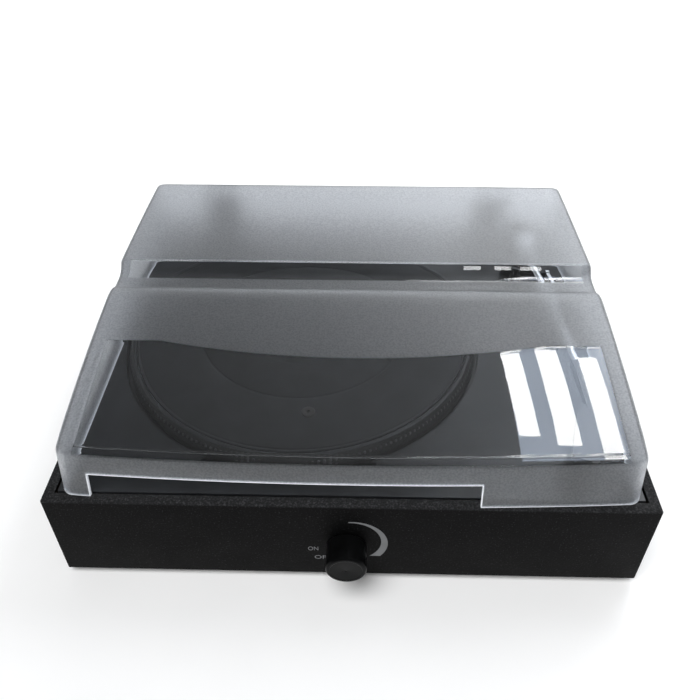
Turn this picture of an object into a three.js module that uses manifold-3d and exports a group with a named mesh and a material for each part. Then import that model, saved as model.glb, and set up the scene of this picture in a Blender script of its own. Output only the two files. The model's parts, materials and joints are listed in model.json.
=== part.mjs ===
// Belt-drive record player with a hinged dust cover.
// Millimetres, +Z up, front towards -Y. The origin is on the surface the feet stand on,
// under the middle of the overall length and width.

import * as THREE from "three";
import { mergeVertices } from "three/addons/utils/BufferGeometryUtils.js";
import Module from "manifold-3d";

const wasm = await Module();
wasm.setup();

// ---------------------------------------------------------------- driving dimensions

const GAP = 0.3;                    // clearance left between touching pieces

const PLINTH_WIDTH = 450;
const PLINTH_DEPTH = 370;
const PLINTH_HEIGHT = 86;
const PANEL = 9;                    // thickness of the four case boards
const BASE_THICKNESS = 4;
const BASE_RECESS = 1;              // bottom board sits this far up inside the case
const FOOT_HEIGHT = 6;
const FOOT_RADIUS = 12;
const FOOT_INSET = 26;              // foot centre from the outer faces of the case
const BLOCK_SIDE = 26;              // glue blocks in the corners

const KNOB_REACH = 22;              // control knob in front of the case
const KNOB_RADIUS = 15.4;
const KNOB_X = -2;
const KNOB_DROP = 47;               // knob axis below the rim of the case
const HINGE_REACH = 10;             // hinge barrels behind the case

const DECK_THICKNESS = 3;
const DECK_GAP = 1;                 // visible slit between case boards and deck
const WELL_RADIUS = 159.8;
const WELL_DEPTH = 8;
const WELL_WALL = 2.5;

const PLATTER_X = -46.2;
const PLATTER_FROM_FRONT = 188.8;
const PLATTER_RADIUS = 156.5;
const PLATTER_TOP = 8.8;            // heights of the turntable parts are above the deck
const MAT_RADIUS = 148.6;
const MAT_TOP = 10.8;
const DRIVE_RIM_RADIUS = 87;
const PULLEY_RADIUS = 5.4;
const PULLEY_DISTANCE = 112;        // motor axis from platter axis
const PULLEY_BEARING = 125;         // degrees, direction of the motor from the platter
const SPINDLE_RADIUS = 3.6;
const SPINDLE_TOP = 29;

const PIVOT_X = 168.7;
const PIVOT_FROM_FRONT = 288;
const ARM_PARK_ANGLE = -85.2;       // degrees, parked arm direction seen from above
const ARM_HEIGHT = 31;              // arm tube axis above the deck
const TUBE_RADIUS = 3.4;
const TUBE_END = 167;               // bright tube stops here and the neck of the head begins
const HEAD_START = 210.4;           // pivot to the back of the shell, along the tube
const HEAD_LENGTH = 44;             // back of the shell to the stylus
const HEAD_OFFSET_ANGLE = -22;      // the head is turned towards the record
const SHELL_TOP = 27.5;
const SHELL_BOTTOM = 22.5;
const CARTRIDGE_BOTTOM = 18;

const COVER_WALL = 2.5;
const COVER_HALF_WIDTH = 211.5;
const COVER_LIFT = 0.4;             // cover edge above the rim
const COVER_BOW = 6.8;              // the front bulges forward in plan
const COVER_CORNER = 9;             // rounding of the upright corners
const COVER_EDGE = 3;               // rounding of the top's side edges
const CUTOUT_LEFT = -189;
const CUTOUT_RIGHT = 94.6;
const CUTOUT_HEIGHT = 20;
const HINGE_X = 143.5;
const HINGE_WIDTH = 34;

// ---------------------------------------------------------------- derived places

const FRONT_Y = -(PLINTH_DEPTH + HINGE_REACH - KNOB_REACH) / 2;
const REAR_Y = FRONT_Y + PLINTH_DEPTH;
const RIM_Z = FOOT_HEIGHT + PLINTH_HEIGHT;
const BASE_BOTTOM = FOOT_HEIGHT + BASE_RECESS;
const BASE_TOP = BASE_BOTTOM + BASE_THICKNESS;
const INNER_HALF_WIDTH = PLINTH_WIDTH / 2 - PANEL;
const INNER_FRONT = FRONT_Y + PANEL;
const INNER_REAR = REAR_Y - PANEL;
const PLATTER_Y = FRONT_Y + PLATTER_FROM_FRONT;
const PIVOT_Y = FRONT_Y + PIVOT_FROM_FRONT;
const KNOB_Z = RIM_Z - KNOB_DROP;

const radians = (degrees) => THREE.MathUtils.degToRad(degrees);

// ---------------------------------------------------------------- finishes

const finish = (color, roughness, metalness, opacity = 1) => () =>
  new THREE.MeshStandardMaterial({ color, roughness, metalness, opacity, transparent: opacity < 1 });

const blackVinyl = finish(0x1e1f20, 0.7, 0);
const board = finish(0x9a7a52, 0.9, 0);
const blackPlastic = finish(0x202224, 0.45, 0);
const deckPlastic = finish(0x26282b, 0.5, 0);
const rubber = finish(0x141414, 0.9, 0);
const aluminium = finish(0x9a9ca0, 0.35, 0.9);
const steel = finish(0xb9bbbe, 0.25, 1);
const brass = finish(0xb5974f, 0.35, 1);
const laminate = finish(0x2f6b3c, 0.6, 0);
const paper = finish(0x2a2a2a, 0.95, 0);
const clearPlastic = finish(0xdfe3e6, 0.2, 0, 0.45);

// ---------------------------------------------------------------- shape helpers

function toSolid(geometry) {
  const bare = geometry.clone();
  bare.deleteAttribute("normal");
  bare.deleteAttribute("uv");
  const merged = mergeVertices(bare, 1e-4);
  return new wasm.Manifold(new wasm.Mesh({
    numProp: 3,
    vertProperties: new Float32Array(merged.attributes.position.array),
    triVerts: new Uint32Array(merged.index.array),
  }));
}

function toGeometry(solid) {
  const mesh = solid.getMesh();
  const geometry = new THREE.BufferGeometry();
  geometry.setAttribute("position", new THREE.BufferAttribute(mesh.vertProperties, 3));
  geometry.setIndex(new THREE.BufferAttribute(mesh.triVerts, 1));
  geometry.computeVertexNormals();
  return geometry;
}

// Starts from the first shape, then adds and cuts the others.
function combine(first, { add = [], cut = [] }) {
  let solid = toSolid(first);
  for (const shape of add) solid = solid.add(toSolid(shape));
  for (const shape of cut) solid = solid.subtract(toSolid(shape));
  return toGeometry(solid);
}

// A box from its lowest to its highest corner.
function box(x0, y0, z0, x1, y1, z1) {
  const geometry = new THREE.BoxGeometry(x1 - x0, y1 - y0, z1 - z0);
  return geometry.translate((x0 + x1) / 2, (y0 + y1) / 2, (z0 + z1) / 2);
}

// An upright cylinder standing on z0.
function cylinder(radius, x, y, z0, z1, segments = 24) {
  const geometry = new THREE.CylinderGeometry(radius, radius, z1 - z0, segments);
  return geometry.rotateX(Math.PI / 2).translate(x, y, (z0 + z1) / 2);
}

// A cylinder lying along Y.
function cylinderAlongY(radius, x, z, y0, y1, segments = 24) {
  const geometry = new THREE.CylinderGeometry(radius, radius, y1 - y0, segments);
  return geometry.translate(x, (y0 + y1) / 2, z);
}

// A cylinder lying along X.
function cylinderAlongX(radius, y, z, x0, x1, segments = 24) {
  const geometry = new THREE.CylinderGeometry(radius, radius, x1 - x0, segments);
  return geometry.rotateZ(Math.PI / 2).translate((x0 + x1) / 2, y, z);
}

// Turns a closed outline of [radius, height] points about the upright axis.
function turned(outline, segments = 24) {
  const points = outline.map(([radius, height]) => new THREE.Vector2(radius, height));
  const touchesAxis = outline[0][0] === 0 && outline.at(-1)[0] === 0;
  if (!touchesAxis) points.push(points[0].clone());
  return new THREE.LatheGeometry(points, segments).rotateX(Math.PI / 2);
}

// Extrudes a closed outline of [x, y] points from z0 up to z1.
function upright(outline, z0, z1, holes = []) {
  const shape = new THREE.Shape(outline.map(([x, y]) => new THREE.Vector2(x, y)));
  for (const hole of holes) shape.holes.push(new THREE.Path(hole.map(([x, y]) => new THREE.Vector2(x, y))));
  return new THREE.ExtrudeGeometry(shape, { depth: z1 - z0, bevelEnabled: false }).translate(0, 0, z0);
}

// Extrudes a closed outline of [y, z] points from x0 across to x1.
function across(outline, x0, x1) {
  const shape = new THREE.Shape(outline.map(([y, z]) => new THREE.Vector2(y, z)));
  const geometry = new THREE.ExtrudeGeometry(shape, { depth: x1 - x0, bevelEnabled: false });
  geometry.rotateX(Math.PI / 2).rotateZ(Math.PI / 2);
  return geometry.translate(x0, 0, 0);
}

// Points on a circular arc, angles in degrees.
function arc(x, y, radius, from, to, steps) {
  const points = [];
  for (let i = 0; i <= steps; i += 1) {
    const angle = radians(from + ((to - from) * i) / steps);
    points.push([x + radius * Math.cos(angle), y + radius * Math.sin(angle)]);
  }
  return points;
}

function part(group, name, geometry, material, x = 0, y = 0, z = 0) {
  const mesh = new THREE.Mesh(geometry, material());
  mesh.name = name;
  mesh.position.set(x, y, z);
  group.add(mesh);
  return mesh;
}

const CORNERS = [
  ["front_left", -1, -1],
  ["front_right", 1, -1],
  ["rear_left", -1, 1],
  ["rear_right", 1, 1],
];

const cornerPlace = (sideX, sideY) => [
  sideX * (PLINTH_WIDTH / 2 - FOOT_INSET),
  sideY < 0 ? FRONT_Y + FOOT_INSET : REAR_Y - FOOT_INSET,
];

// ---------------------------------------------------------------- case

const JACK_X = -150;
const JACK_Z = FOOT_HEIGHT + 40;
const JACK_HALF_WIDTH = 24;
const JACK_HALF_HEIGHT = 9;
const INLET_X = -95;
const INLET_RADIUS = 5.5;
const BUSHING_RADIUS = 3.8;

// One board, lying along X, with its ends cut at 45 degrees. Its outer face is at y = 0.
function mitredBoard(length) {
  const trim = 0.25;
  const outer = length / 2 - trim;
  const inner = outer - PANEL;
  return upright([[-outer, 0], [outer, 0], [inner, PANEL], [-inner, PANEL]], FOOT_HEIGHT, RIM_Z);
}

function makeCase() {
  const group = new THREE.Group();
  const midY = (FRONT_Y + REAR_Y) / 2;

  const front = mitredBoard(PLINTH_WIDTH).translate(0, FRONT_Y, 0);
  const bushingHole = cylinderAlongY(BUSHING_RADIUS + GAP, KNOB_X, KNOB_Z, FRONT_Y - 1, INNER_FRONT + 1);
  part(group, "front_panel", combine(front, { cut: [bushingHole] }), blackVinyl);

  const rear = mitredBoard(PLINTH_WIDTH).rotateZ(Math.PI).translate(0, REAR_Y, 0);
  const jackHole = box(
    JACK_X - JACK_HALF_WIDTH, INNER_REAR - 1, JACK_Z - JACK_HALF_HEIGHT,
    JACK_X + JACK_HALF_WIDTH, REAR_Y + 1, JACK_Z + JACK_HALF_HEIGHT,
  );
  const inletHole = cylinderAlongY(INLET_RADIUS + GAP, INLET_X, JACK_Z, INNER_REAR - 1, REAR_Y + 1);
  part(group, "rear_panel", combine(rear, { cut: [jackHole, inletHole] }), blackVinyl);

  const left = mitredBoard(PLINTH_DEPTH).rotateZ(-Math.PI / 2).translate(-PLINTH_WIDTH / 2, midY, 0);
  part(group, "left_panel", left, blackVinyl);
  const right = mitredBoard(PLINTH_DEPTH).rotateZ(Math.PI / 2).translate(PLINTH_WIDTH / 2, midY, 0);
  part(group, "right_panel", right, blackVinyl);
  return group;
}

// ---------------------------------------------------------------- bottom board, blocks and feet

const SPEAKER_X = 130;
const SPEAKER_FROM_FRONT = 105;
const SPEAKER_SLOTS = 5;
const SPEAKER_OPENING = 30;         // radius of the round patch that the slots fill
const SLOT_WIDTH = 5;
const SLOT_PITCH = 12;
const SCREW_RADIUS = 1.6;

function speakerSlots(x, y) {
  const slots = [];
  const firstOffset = (-(SPEAKER_SLOTS - 1) * SLOT_PITCH) / 2;
  for (let i = 0; i < SPEAKER_SLOTS; i += 1) {
    const offset = firstOffset + i * SLOT_PITCH;
    const halfLength = Math.sqrt(SPEAKER_OPENING ** 2 - offset ** 2);
    slots.push(box(
      x + offset - SLOT_WIDTH / 2, y - halfLength, BASE_BOTTOM - 1,
      x + offset + SLOT_WIDTH / 2, y + halfLength, BASE_TOP + 1,
    ));
  }
  return slots;
}

function makeBase() {
  const group = new THREE.Group();
  const sheet = box(
    -INNER_HALF_WIDTH + GAP, INNER_FRONT + GAP, BASE_BOTTOM,
    INNER_HALF_WIDTH - GAP, INNER_REAR - GAP, BASE_TOP,
  );
  const cuts = [];
  for (const side of [-1, 1]) cuts.push(...speakerSlots(side * SPEAKER_X, FRONT_Y + SPEAKER_FROM_FRONT));
  for (const [, sideX, sideY] of CORNERS) {
    const [x, y] = cornerPlace(sideX, sideY);
    cuts.push(cylinder(SCREW_RADIUS + GAP, x, y, BASE_BOTTOM - 1, BASE_TOP + 1, 12));
  }
  part(group, "base_panel", combine(sheet, { cut: cuts }), board);

  const blockTop = RIM_Z - DECK_THICKNESS - GAP;
  const screwTip = BASE_TOP + 12;
  const footRecess = 3;
  for (const [name, sideX, sideY] of CORNERS) {
    const [x, y] = cornerPlace(sideX, sideY);
    const cornerX = sideX * (INNER_HALF_WIDTH - GAP);
    const cornerY = sideY < 0 ? INNER_FRONT + GAP : INNER_REAR - GAP;
    const block = box(
      Math.min(cornerX, cornerX - sideX * BLOCK_SIDE), Math.min(cornerY, cornerY - sideY * BLOCK_SIDE),
      BASE_TOP + GAP,
      Math.max(cornerX, cornerX - sideX * BLOCK_SIDE), Math.max(cornerY, cornerY - sideY * BLOCK_SIDE),
      blockTop,
    );
    const pilot = cylinder(SCREW_RADIUS + GAP, x, y, BASE_TOP, screwTip + 1, 12);
    part(group, `corner_block_${name}`, combine(block, { cut: [pilot] }), board);

    const footTop = BASE_BOTTOM - GAP;
    const boreRadius = SCREW_RADIUS + GAP;
    const foot = turned([
      [boreRadius, footTop], [boreRadius, footRecess], [5, footRecess], [5, 0],
      [FOOT_RADIUS - 1.5, 0], [FOOT_RADIUS, 1.5], [FOOT_RADIUS, footTop],
    ], 24);
    part(group, `foot_${name}`, foot, rubber, x, y);

    const head = 4;
    const screw = turned([
      [0, 0.8], [head, 0.8], [head, footRecess - GAP], [SCREW_RADIUS, footRecess - GAP],
      [SCREW_RADIUS, screwTip - 3], [0, screwTip],
    ], 12);
    part(group, `foot_screw_${name}`, screw, steel, x, y);
  }
  return group;
}

// ---------------------------------------------------------------- loudspeakers under the deck

function makeSpeakers() {
  const group = new THREE.Group();
  const basket = [
    [40, 0], [40, 2], [33, 3], [24, 18], [24, 30], [7, 30], [7, 28], [16, 28],
    [16, 18], [31, 2], [31, 0],
  ];
  const cone = [
    [0, 13.5], [7, 13.5], [10, 16.2], [30, 1.2], [30, 2.4], [11, 18], [8, 18], [6, 15], [0, 15],
  ];
  for (const [name, side] of [["left", -1], ["right", 1]]) {
    const x = side * SPEAKER_X;
    const y = FRONT_Y + SPEAKER_FROM_FRONT;
    part(group, `speaker_frame_${name}`, turned(basket), steel, x, y, BASE_TOP + GAP);
    part(group, `speaker_cone_${name}`, turned(cone), paper, x, y, BASE_TOP + GAP);
  }
  return group;
}

// ---------------------------------------------------------------- electronics and controls

function makeElectronics() {
  const group = new THREE.Group();
  const boardX = 20;
  const boardY = FRONT_Y + 60;
  const boardHalf = [50, 30];
  const legHeight = 6;
  const sheetBottom = BASE_TOP + GAP + legHeight;
  const sheetTop = sheetBottom + 1.6;
  const sink = 0.5;                    // parts on the board reach this far into it
  const sheet = box(
    boardX - boardHalf[0], boardY - boardHalf[1], sheetBottom,
    boardX + boardHalf[0], boardY + boardHalf[1], sheetTop,
  );
  const additions = [];
  for (const sideX of [-1, 1]) {
    for (const sideY of [-1, 1]) {
      const x = boardX + sideX * (boardHalf[0] - 5);
      const y = boardY + sideY * (boardHalf[1] - 5);
      additions.push(cylinder(2.5, x, y, BASE_TOP + GAP, sheetBottom + sink, 12));
    }
  }
  additions.push(box(boardX - 40, boardY + 6, sheetTop - sink, boardX - 10, boardY + 14, sheetTop + 18));
  const capacitorRadius = 5;
  for (const offset of [5, 20, 35]) {
    const x = boardX + offset;
    additions.push(cylinder(capacitorRadius, x, boardY + 10, sheetTop - sink, sheetTop + 12, 16));
  }
  part(group, "amplifier_board", combine(sheet, { add: additions }), laminate);

  const border = 5;
  const flangeFace = REAR_Y + 2;
  const flange = box(
    JACK_X - JACK_HALF_WIDTH - border, REAR_Y + GAP, JACK_Z - JACK_HALF_HEIGHT - border,
    JACK_X + JACK_HALF_WIDTH + border, flangeFace, JACK_Z + JACK_HALF_HEIGHT + border,
  );
  const housing = box(
    JACK_X - JACK_HALF_WIDTH + GAP, INNER_REAR - 8, JACK_Z - JACK_HALF_HEIGHT + GAP,
    JACK_X + JACK_HALF_WIDTH - GAP, REAR_Y + 1, JACK_Z + JACK_HALF_HEIGHT - GAP,
  );
  const sockets = [];
  const bores = [];
  for (const side of [-1, 1]) {
    const x = JACK_X + side * 10;
    sockets.push(cylinderAlongY(4.1, x, JACK_Z, REAR_Y, REAR_Y + HINGE_REACH - 1, 20));
    bores.push(cylinderAlongY(1.7, x, JACK_Z, REAR_Y - 6, REAR_Y + HINGE_REACH, 12));
  }
  part(group, "output_jacks", combine(flange, { add: [housing, ...sockets], cut: bores }), blackPlastic);

  const inletBody = cylinderAlongY(INLET_RADIUS, INLET_X, JACK_Z, INNER_REAR - 8, REAR_Y + 1);
  const inletFlange = cylinderAlongY(8, INLET_X, JACK_Z, REAR_Y + GAP, flangeFace);
  const inletBore = cylinderAlongY(3.2, INLET_X, JACK_Z, REAR_Y - 9, REAR_Y + 3, 20);
  const inletPin = cylinderAlongY(0.9, INLET_X, JACK_Z, REAR_Y - 10, REAR_Y + 1, 10);
  const inletShell = combine(inletFlange, { add: [inletBody], cut: [inletBore] });
  part(group, "power_inlet", combine(inletShell, { add: [inletPin] }), blackPlastic);
  return group;
}

const SHAFT_RADIUS = 3;

function makeControl() {
  const group = new THREE.Group();
  group.position.set(KNOB_X, FRONT_Y, KNOB_Z);
  group.rotation.x = Math.PI / 2;      // local +Z now points to the front
  const bushingEnd = 3;
  const boreRadius = SHAFT_RADIUS + 0.1;
  const potentiometer = turned([
    [0, -PANEL - 12], [8.5, -PANEL - 12], [8.5, -PANEL - GAP], [BUSHING_RADIUS, -PANEL - GAP],
    [BUSHING_RADIUS, bushingEnd], [boreRadius, bushingEnd], [boreRadius, -PANEL - 8], [0, -PANEL - 8],
  ]);
  part(group, "volume_potentiometer", potentiometer, steel);
  const nutBore = cylinder(BUSHING_RADIUS + GAP, 0, 0, 0, 3, 24);
  const nut = combine(cylinder(7, 0, 0, GAP, 2.4, 6), { cut: [nutBore] });
  part(group, "potentiometer_nut", nut, steel);
  const shaft = turned([[0, -PANEL - 7.5], [SHAFT_RADIUS, -PANEL - 7.5], [SHAFT_RADIUS, 17], [0, 17]]);
  part(group, "control_shaft", shaft, aluminium);
  const knobBore = SHAFT_RADIUS + GAP;
  const knob = turned([
    [0, 17.5], [knobBore, 17.5], [knobBore, 6], [9, 6], [9, 1], [KNOB_RADIUS, 1],
    [KNOB_RADIUS, KNOB_REACH - 1.2], [KNOB_RADIUS - 1.2, KNOB_REACH], [0, KNOB_REACH],
  ], 32);
  part(group, "control_knob", knob, blackPlastic);
  return group;
}

// ---------------------------------------------------------------- deck

const MOTOR_X = PLATTER_X + PULLEY_DISTANCE * Math.cos(radians(PULLEY_BEARING));
const MOTOR_Y = PLATTER_Y + PULLEY_DISTANCE * Math.sin(radians(PULLEY_BEARING));
const BEARING_RADIUS = 8;
const SWITCH_X = 128;
const SWITCH_FROM_FRONT = 318;
const SWITCH_TRAVEL = 8;

function makeDeck() {
  const group = new THREE.Group();
  const top = RIM_Z;
  const underside = top - DECK_THICKNESS;
  const floorTop = top - WELL_DEPTH;
  const floorBottom = floorTop - WELL_WALL;
  const sheet = box(
    -INNER_HALF_WIDTH + DECK_GAP, INNER_FRONT + DECK_GAP, underside,
    INNER_HALF_WIDTH - DECK_GAP, INNER_REAR - DECK_GAP, top,
  );
  const wellSegments = 48;
  const cupRadius = WELL_RADIUS + WELL_WALL;
  const cup = cylinder(cupRadius, PLATTER_X, PLATTER_Y, floorBottom, underside + 1, wellSegments);
  const hollow = cylinder(WELL_RADIUS, PLATTER_X, PLATTER_Y, floorTop, top + 1, wellSegments);
  const switchY = FRONT_Y + SWITCH_FROM_FRONT;
  const cuts = [
    hollow,
    cylinder(BEARING_RADIUS + GAP, PLATTER_X, PLATTER_Y, floorBottom - 1, floorTop + 1),
    cylinder(12, MOTOR_X, MOTOR_Y, floorBottom - 1, floorTop + 1, 24),
    cylinder(8, PIVOT_X, PIVOT_Y, underside - 1, top + 1, 24),
    box(SWITCH_X - 2, switchY - 3, underside - 1, SWITCH_X + 2, switchY + 3 + SWITCH_TRAVEL, top + 1),
  ];
  part(group, "deck_plate", combine(sheet, { add: [cup], cut: cuts }), deckPlastic);

  const knobHalf = [5.5, 3.5];
  const cap = box(
    SWITCH_X - knobHalf[0], switchY - knobHalf[1], top + GAP,
    SWITCH_X + knobHalf[0], switchY + knobHalf[1], top + 4,
  );
  const stem = box(SWITCH_X - 1.5, switchY - 2.5, underside - 3, SWITCH_X + 1.5, switchY + 2.5, top + 2);
  part(group, "speed_switch", combine(cap, { add: [stem] }), blackPlastic);
  return group;
}

// ---------------------------------------------------------------- platter, bearing and drive

function makePlatter() {
  const group = new THREE.Group();
  group.position.set(PLATTER_X, PLATTER_Y, RIM_Z);
  const underside = PLATTER_TOP - 3.6;
  const hubBottom = -2;
  const rimBottom = -5.5;
  const lipInner = MAT_RADIUS + 0.5;
  const lipOuter = lipInner + 3.4;
  const boreRadius = SPINDLE_RADIUS + 0.3;
  const platter = turned([
    [boreRadius, hubBottom], [14, hubBottom], [14, underside],
    [DRIVE_RIM_RADIUS - 3, underside], [DRIVE_RIM_RADIUS - 3, rimBottom],
    [DRIVE_RIM_RADIUS, rimBottom], [DRIVE_RIM_RADIUS, underside],
    [PLATTER_RADIUS - 4, underside], [PLATTER_RADIUS - 4, -4], [PLATTER_RADIUS, -4],
    [PLATTER_RADIUS, 1.5], [lipOuter, MAT_TOP - 0.2], [lipInner, MAT_TOP - 0.2],
    [lipInner, PLATTER_TOP], [boreRadius, PLATTER_TOP],
  ], 48);
  part(group, "platter", platter, aluminium);

  const mat = turned([
    [5, PLATTER_TOP + GAP], [MAT_RADIUS, PLATTER_TOP + GAP], [MAT_RADIUS, MAT_TOP], [5, MAT_TOP],
  ], 48);
  const buttonX = 11.7;
  const buttonY = -107.6;
  const buttonRadius = 5.6;
  const buttonHole = cylinder(buttonRadius + GAP, buttonX, buttonY, PLATTER_TOP - 1, MAT_TOP + 1, 24);
  part(group, "platter_mat", combine(mat, { cut: [buttonHole] }), rubber);
  const button = turned([
    [1.3, PLATTER_TOP + GAP], [buttonRadius, PLATTER_TOP + GAP],
    [buttonRadius, MAT_TOP + 0.4], [buttonRadius - 0.8, MAT_TOP + 1], [1.3, MAT_TOP + 1],
  ], 24);
  part(group, "mat_button", button, blackPlastic, buttonX, buttonY);

  const collarTop = hubBottom - GAP;
  const collarBottom = -6;
  const shaftBottom = -32.5;
  const spindle = turned([
    [0, shaftBottom], [SPINDLE_RADIUS, shaftBottom], [SPINDLE_RADIUS, collarBottom], [9, collarBottom],
    [9, collarTop], [SPINDLE_RADIUS, collarTop], [SPINDLE_RADIUS, SPINDLE_TOP - 4],
    [2, SPINDLE_TOP - 0.8], [0, SPINDLE_TOP],
  ]);
  part(group, "platter_spindle", spindle, steel);

  const floorBottom = -WELL_DEPTH - WELL_WALL;
  const flangeTop = floorBottom - GAP;
  const bearingBore = SPINDLE_RADIUS + 0.1;
  const bearing = turned([
    [0, shaftBottom - 4], [BEARING_RADIUS, shaftBottom - 4], [BEARING_RADIUS, flangeTop - 3],
    [18, flangeTop - 3], [18, flangeTop], [BEARING_RADIUS, flangeTop], [BEARING_RADIUS, -7],
    [bearingBore, -7], [bearingBore, shaftBottom - 0.5], [0, shaftBottom - 0.5],
  ]);
  part(group, "spindle_bearing", bearing, brass);
  return group;
}

// Outline of a band stretched round the drive rim and the motor pulley. The rim is at the
// origin, the pulley on +X.
function bandOutline(growth) {
  const big = DRIVE_RIM_RADIUS + growth;
  const small = PULLEY_RADIUS + growth;
  const lean = THREE.MathUtils.radToDeg(Math.acos((big - small) / PULLEY_DISTANCE));
  return [
    ...arc(0, 0, big, lean, 360 - lean, 36),
    ...arc(PULLEY_DISTANCE, 0, small, -lean, lean, 6),
  ];
}

function makeDrive() {
  const group = new THREE.Group();
  const beltThickness = 0.8;
  const belt = upright(bandOutline(GAP + beltThickness), -4, 1, [bandOutline(GAP)]);
  const beltMesh = part(group, "drive_belt", belt, rubber, PLATTER_X, PLATTER_Y, RIM_Z);
  beltMesh.rotation.z = radians(PULLEY_BEARING);

  const motor = new THREE.Group();
  motor.position.set(MOTOR_X, MOTOR_Y, RIM_Z);
  group.add(motor);
  const shaft = 1.2;
  const flange = PULLEY_RADIUS + 1.2;
  const pulley = turned([
    [0, -30], [shaft, -30], [shaft, -9], [PULLEY_RADIUS, -9], [PULLEY_RADIUS, -6.5], [flange, -6.5],
    [flange, -5.5], [PULLEY_RADIUS, -4.8], [PULLEY_RADIUS, 1.8], [flange, 2.5], [flange, 3.4], [0, 3.4],
  ]);
  part(motor, "motor_pulley", pulley, brass);
  const bore = shaft + 0.2;
  const canTop = -14.3;
  const can = turned([
    [0, -46], [15.5, -46], [17.5, -44], [17.5, canTop - 1.5], [16, canTop], [bore, canTop],
    [bore, -32], [0, -32],
  ]);
  part(motor, "drive_motor", can, steel);
  const bracketTop = -WELL_DEPTH - WELL_WALL - GAP;
  const bracketBottom = canTop + GAP;
  const plate = box(-36, -11, bracketBottom, 36, 11, bracketTop);
  const ring = cylinder(21, 0, 0, bracketBottom, bracketTop);
  const opening = cylinder(7.5, 0, 0, bracketBottom - 1, bracketTop + 1, 24);
  const holes = [-30, 30].map((x) => cylinder(3.5, x, 0, bracketBottom - 1, bracketTop + 1, 16));
  part(motor, "motor_bracket", combine(plate, { add: [ring], cut: [opening, ...holes] }), steel);
  return group;
}

// ---------------------------------------------------------------- tonearm

const BASE_HOUSING_TOP = 13;
const LIFT_RADIUS = 30;
const LIFT_ROD_ANGLE = -28;         // degrees from the parked arm, towards the platter
const LIFT_TOP = ARM_HEIGHT - TUBE_RADIUS - 1.1;
const LEVER_OFFSET = 22;            // cue lever sideways from the arm pivot
const LEVER_PIVOT_X = 14;
const LEVER_PIVOT_Z = 9;
const REST_DISTANCE = 115;          // arm rest from the pivot

// Everything here is in the arm's own frame: origin on the deck under the pivot, +X along
// the parked arm towards the head, +Y towards the side of the case.
function makeTonearm() {
  const group = new THREE.Group();
  group.position.set(PIVOT_X, PIVOT_Y, RIM_Z);
  group.rotation.z = radians(ARM_PARK_ANGLE);

  const rodX = LIFT_RADIUS * Math.cos(radians(LIFT_ROD_ANGLE));
  const rodY = LIFT_RADIUS * Math.sin(radians(LIFT_ROD_ANGLE));
  const lobe = cylinder(5, rodX, rodY, GAP, BASE_HOUSING_TOP + 4, 24);
  const lobeBridge = box(0, -4, GAP, LIFT_RADIUS, 4, BASE_HOUSING_TOP - 3).rotateZ(radians(LIFT_ROD_ANGLE));
  const leverLobe = box(LEVER_PIVOT_X - 5, 0, GAP, LEVER_PIVOT_X + 5, LEVER_OFFSET - 2.5, BASE_HOUSING_TOP);
  const leverBore = cylinder(1.8, 0, 0, -12, 12, 16)
    .rotateX(Math.PI / 2)
    .translate(LEVER_PIVOT_X, LEVER_OFFSET - 8, LEVER_PIVOT_Z);
  const base = combine(cylinder(20, 0, 0, GAP, BASE_HOUSING_TOP), {
    add: [lobe, lobeBridge, leverLobe],
    cut: [
      cylinder(2.3, rodX, rodY, 1.5, BASE_HOUSING_TOP + 5, 16),
      cylinder(4.3, 0, 0, 3, BASE_HOUSING_TOP + 1, 24),
      leverBore,
    ],
  });
  part(group, "tonearm_base", base, blackPlastic);

  const yokeFloor = BASE_HOUSING_TOP + GAP;
  const yokeFloorTop = yokeFloor + 5;
  const cheek = (y0, y1) => box(-7, y0, yokeFloor + 1, 7, y1, ARM_HEIGHT + 6);
  const pinBore = cylinder(1.3, 0, 0, -14, 14, 16).rotateX(Math.PI / 2).translate(0, 0, ARM_HEIGHT);
  const yoke = combine(cylinder(13, 0, 0, yokeFloor, yokeFloorTop), {
    add: [cylinder(4, 0, 0, 3.5, yokeFloor + 1, 24), cheek(-11.5, -8), cheek(8, 11.5)],
    cut: [pinBore],
  });
  part(group, "tonearm_yoke", yoke, blackPlastic);

  const pin = cylinder(1.2, 0, 0, -12, 12, 16).rotateX(Math.PI / 2).translate(0, 0, ARM_HEIGHT);
  part(group, "tonearm_pivot_pin", pin, steel);

  const tailLength = 35;
  const block = box(-9, -7, ARM_HEIGHT - 6, 11, 7, ARM_HEIGHT + 6);
  const tube = turned([[0, 0], [TUBE_RADIUS, 0], [TUBE_RADIUS, TUBE_END - 5], [0, TUBE_END - 5]], 20)
    .rotateY(Math.PI / 2)
    .translate(5, 0, ARM_HEIGHT);
  const tail = turned([[0, 0], [2.6, 0], [2.6, tailLength], [0, tailLength]], 20)
    .rotateY(-Math.PI / 2)
    .translate(0, 0, ARM_HEIGHT);
  const blockBore = cylinder(1.5, 0, 0, -14, 14, 16).rotateX(Math.PI / 2).translate(0, 0, ARM_HEIGHT);
  part(group, "tonearm_tube", combine(block, { add: [tube, tail], cut: [blockBore] }), aluminium);

  const weight = turned([[2.9, 16], [10.5, 16], [12, 17.5], [12, 29], [10.5, 30.5], [2.9, 30.5]])
    .rotateY(-Math.PI / 2)
    .translate(0, 0, ARM_HEIGHT);
  part(group, "counterweight", weight, blackPlastic);

  makeHead(group);
  makeCueing(group, rodX, rodY);
  makeArmRest(group);
  return group;
}

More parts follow.
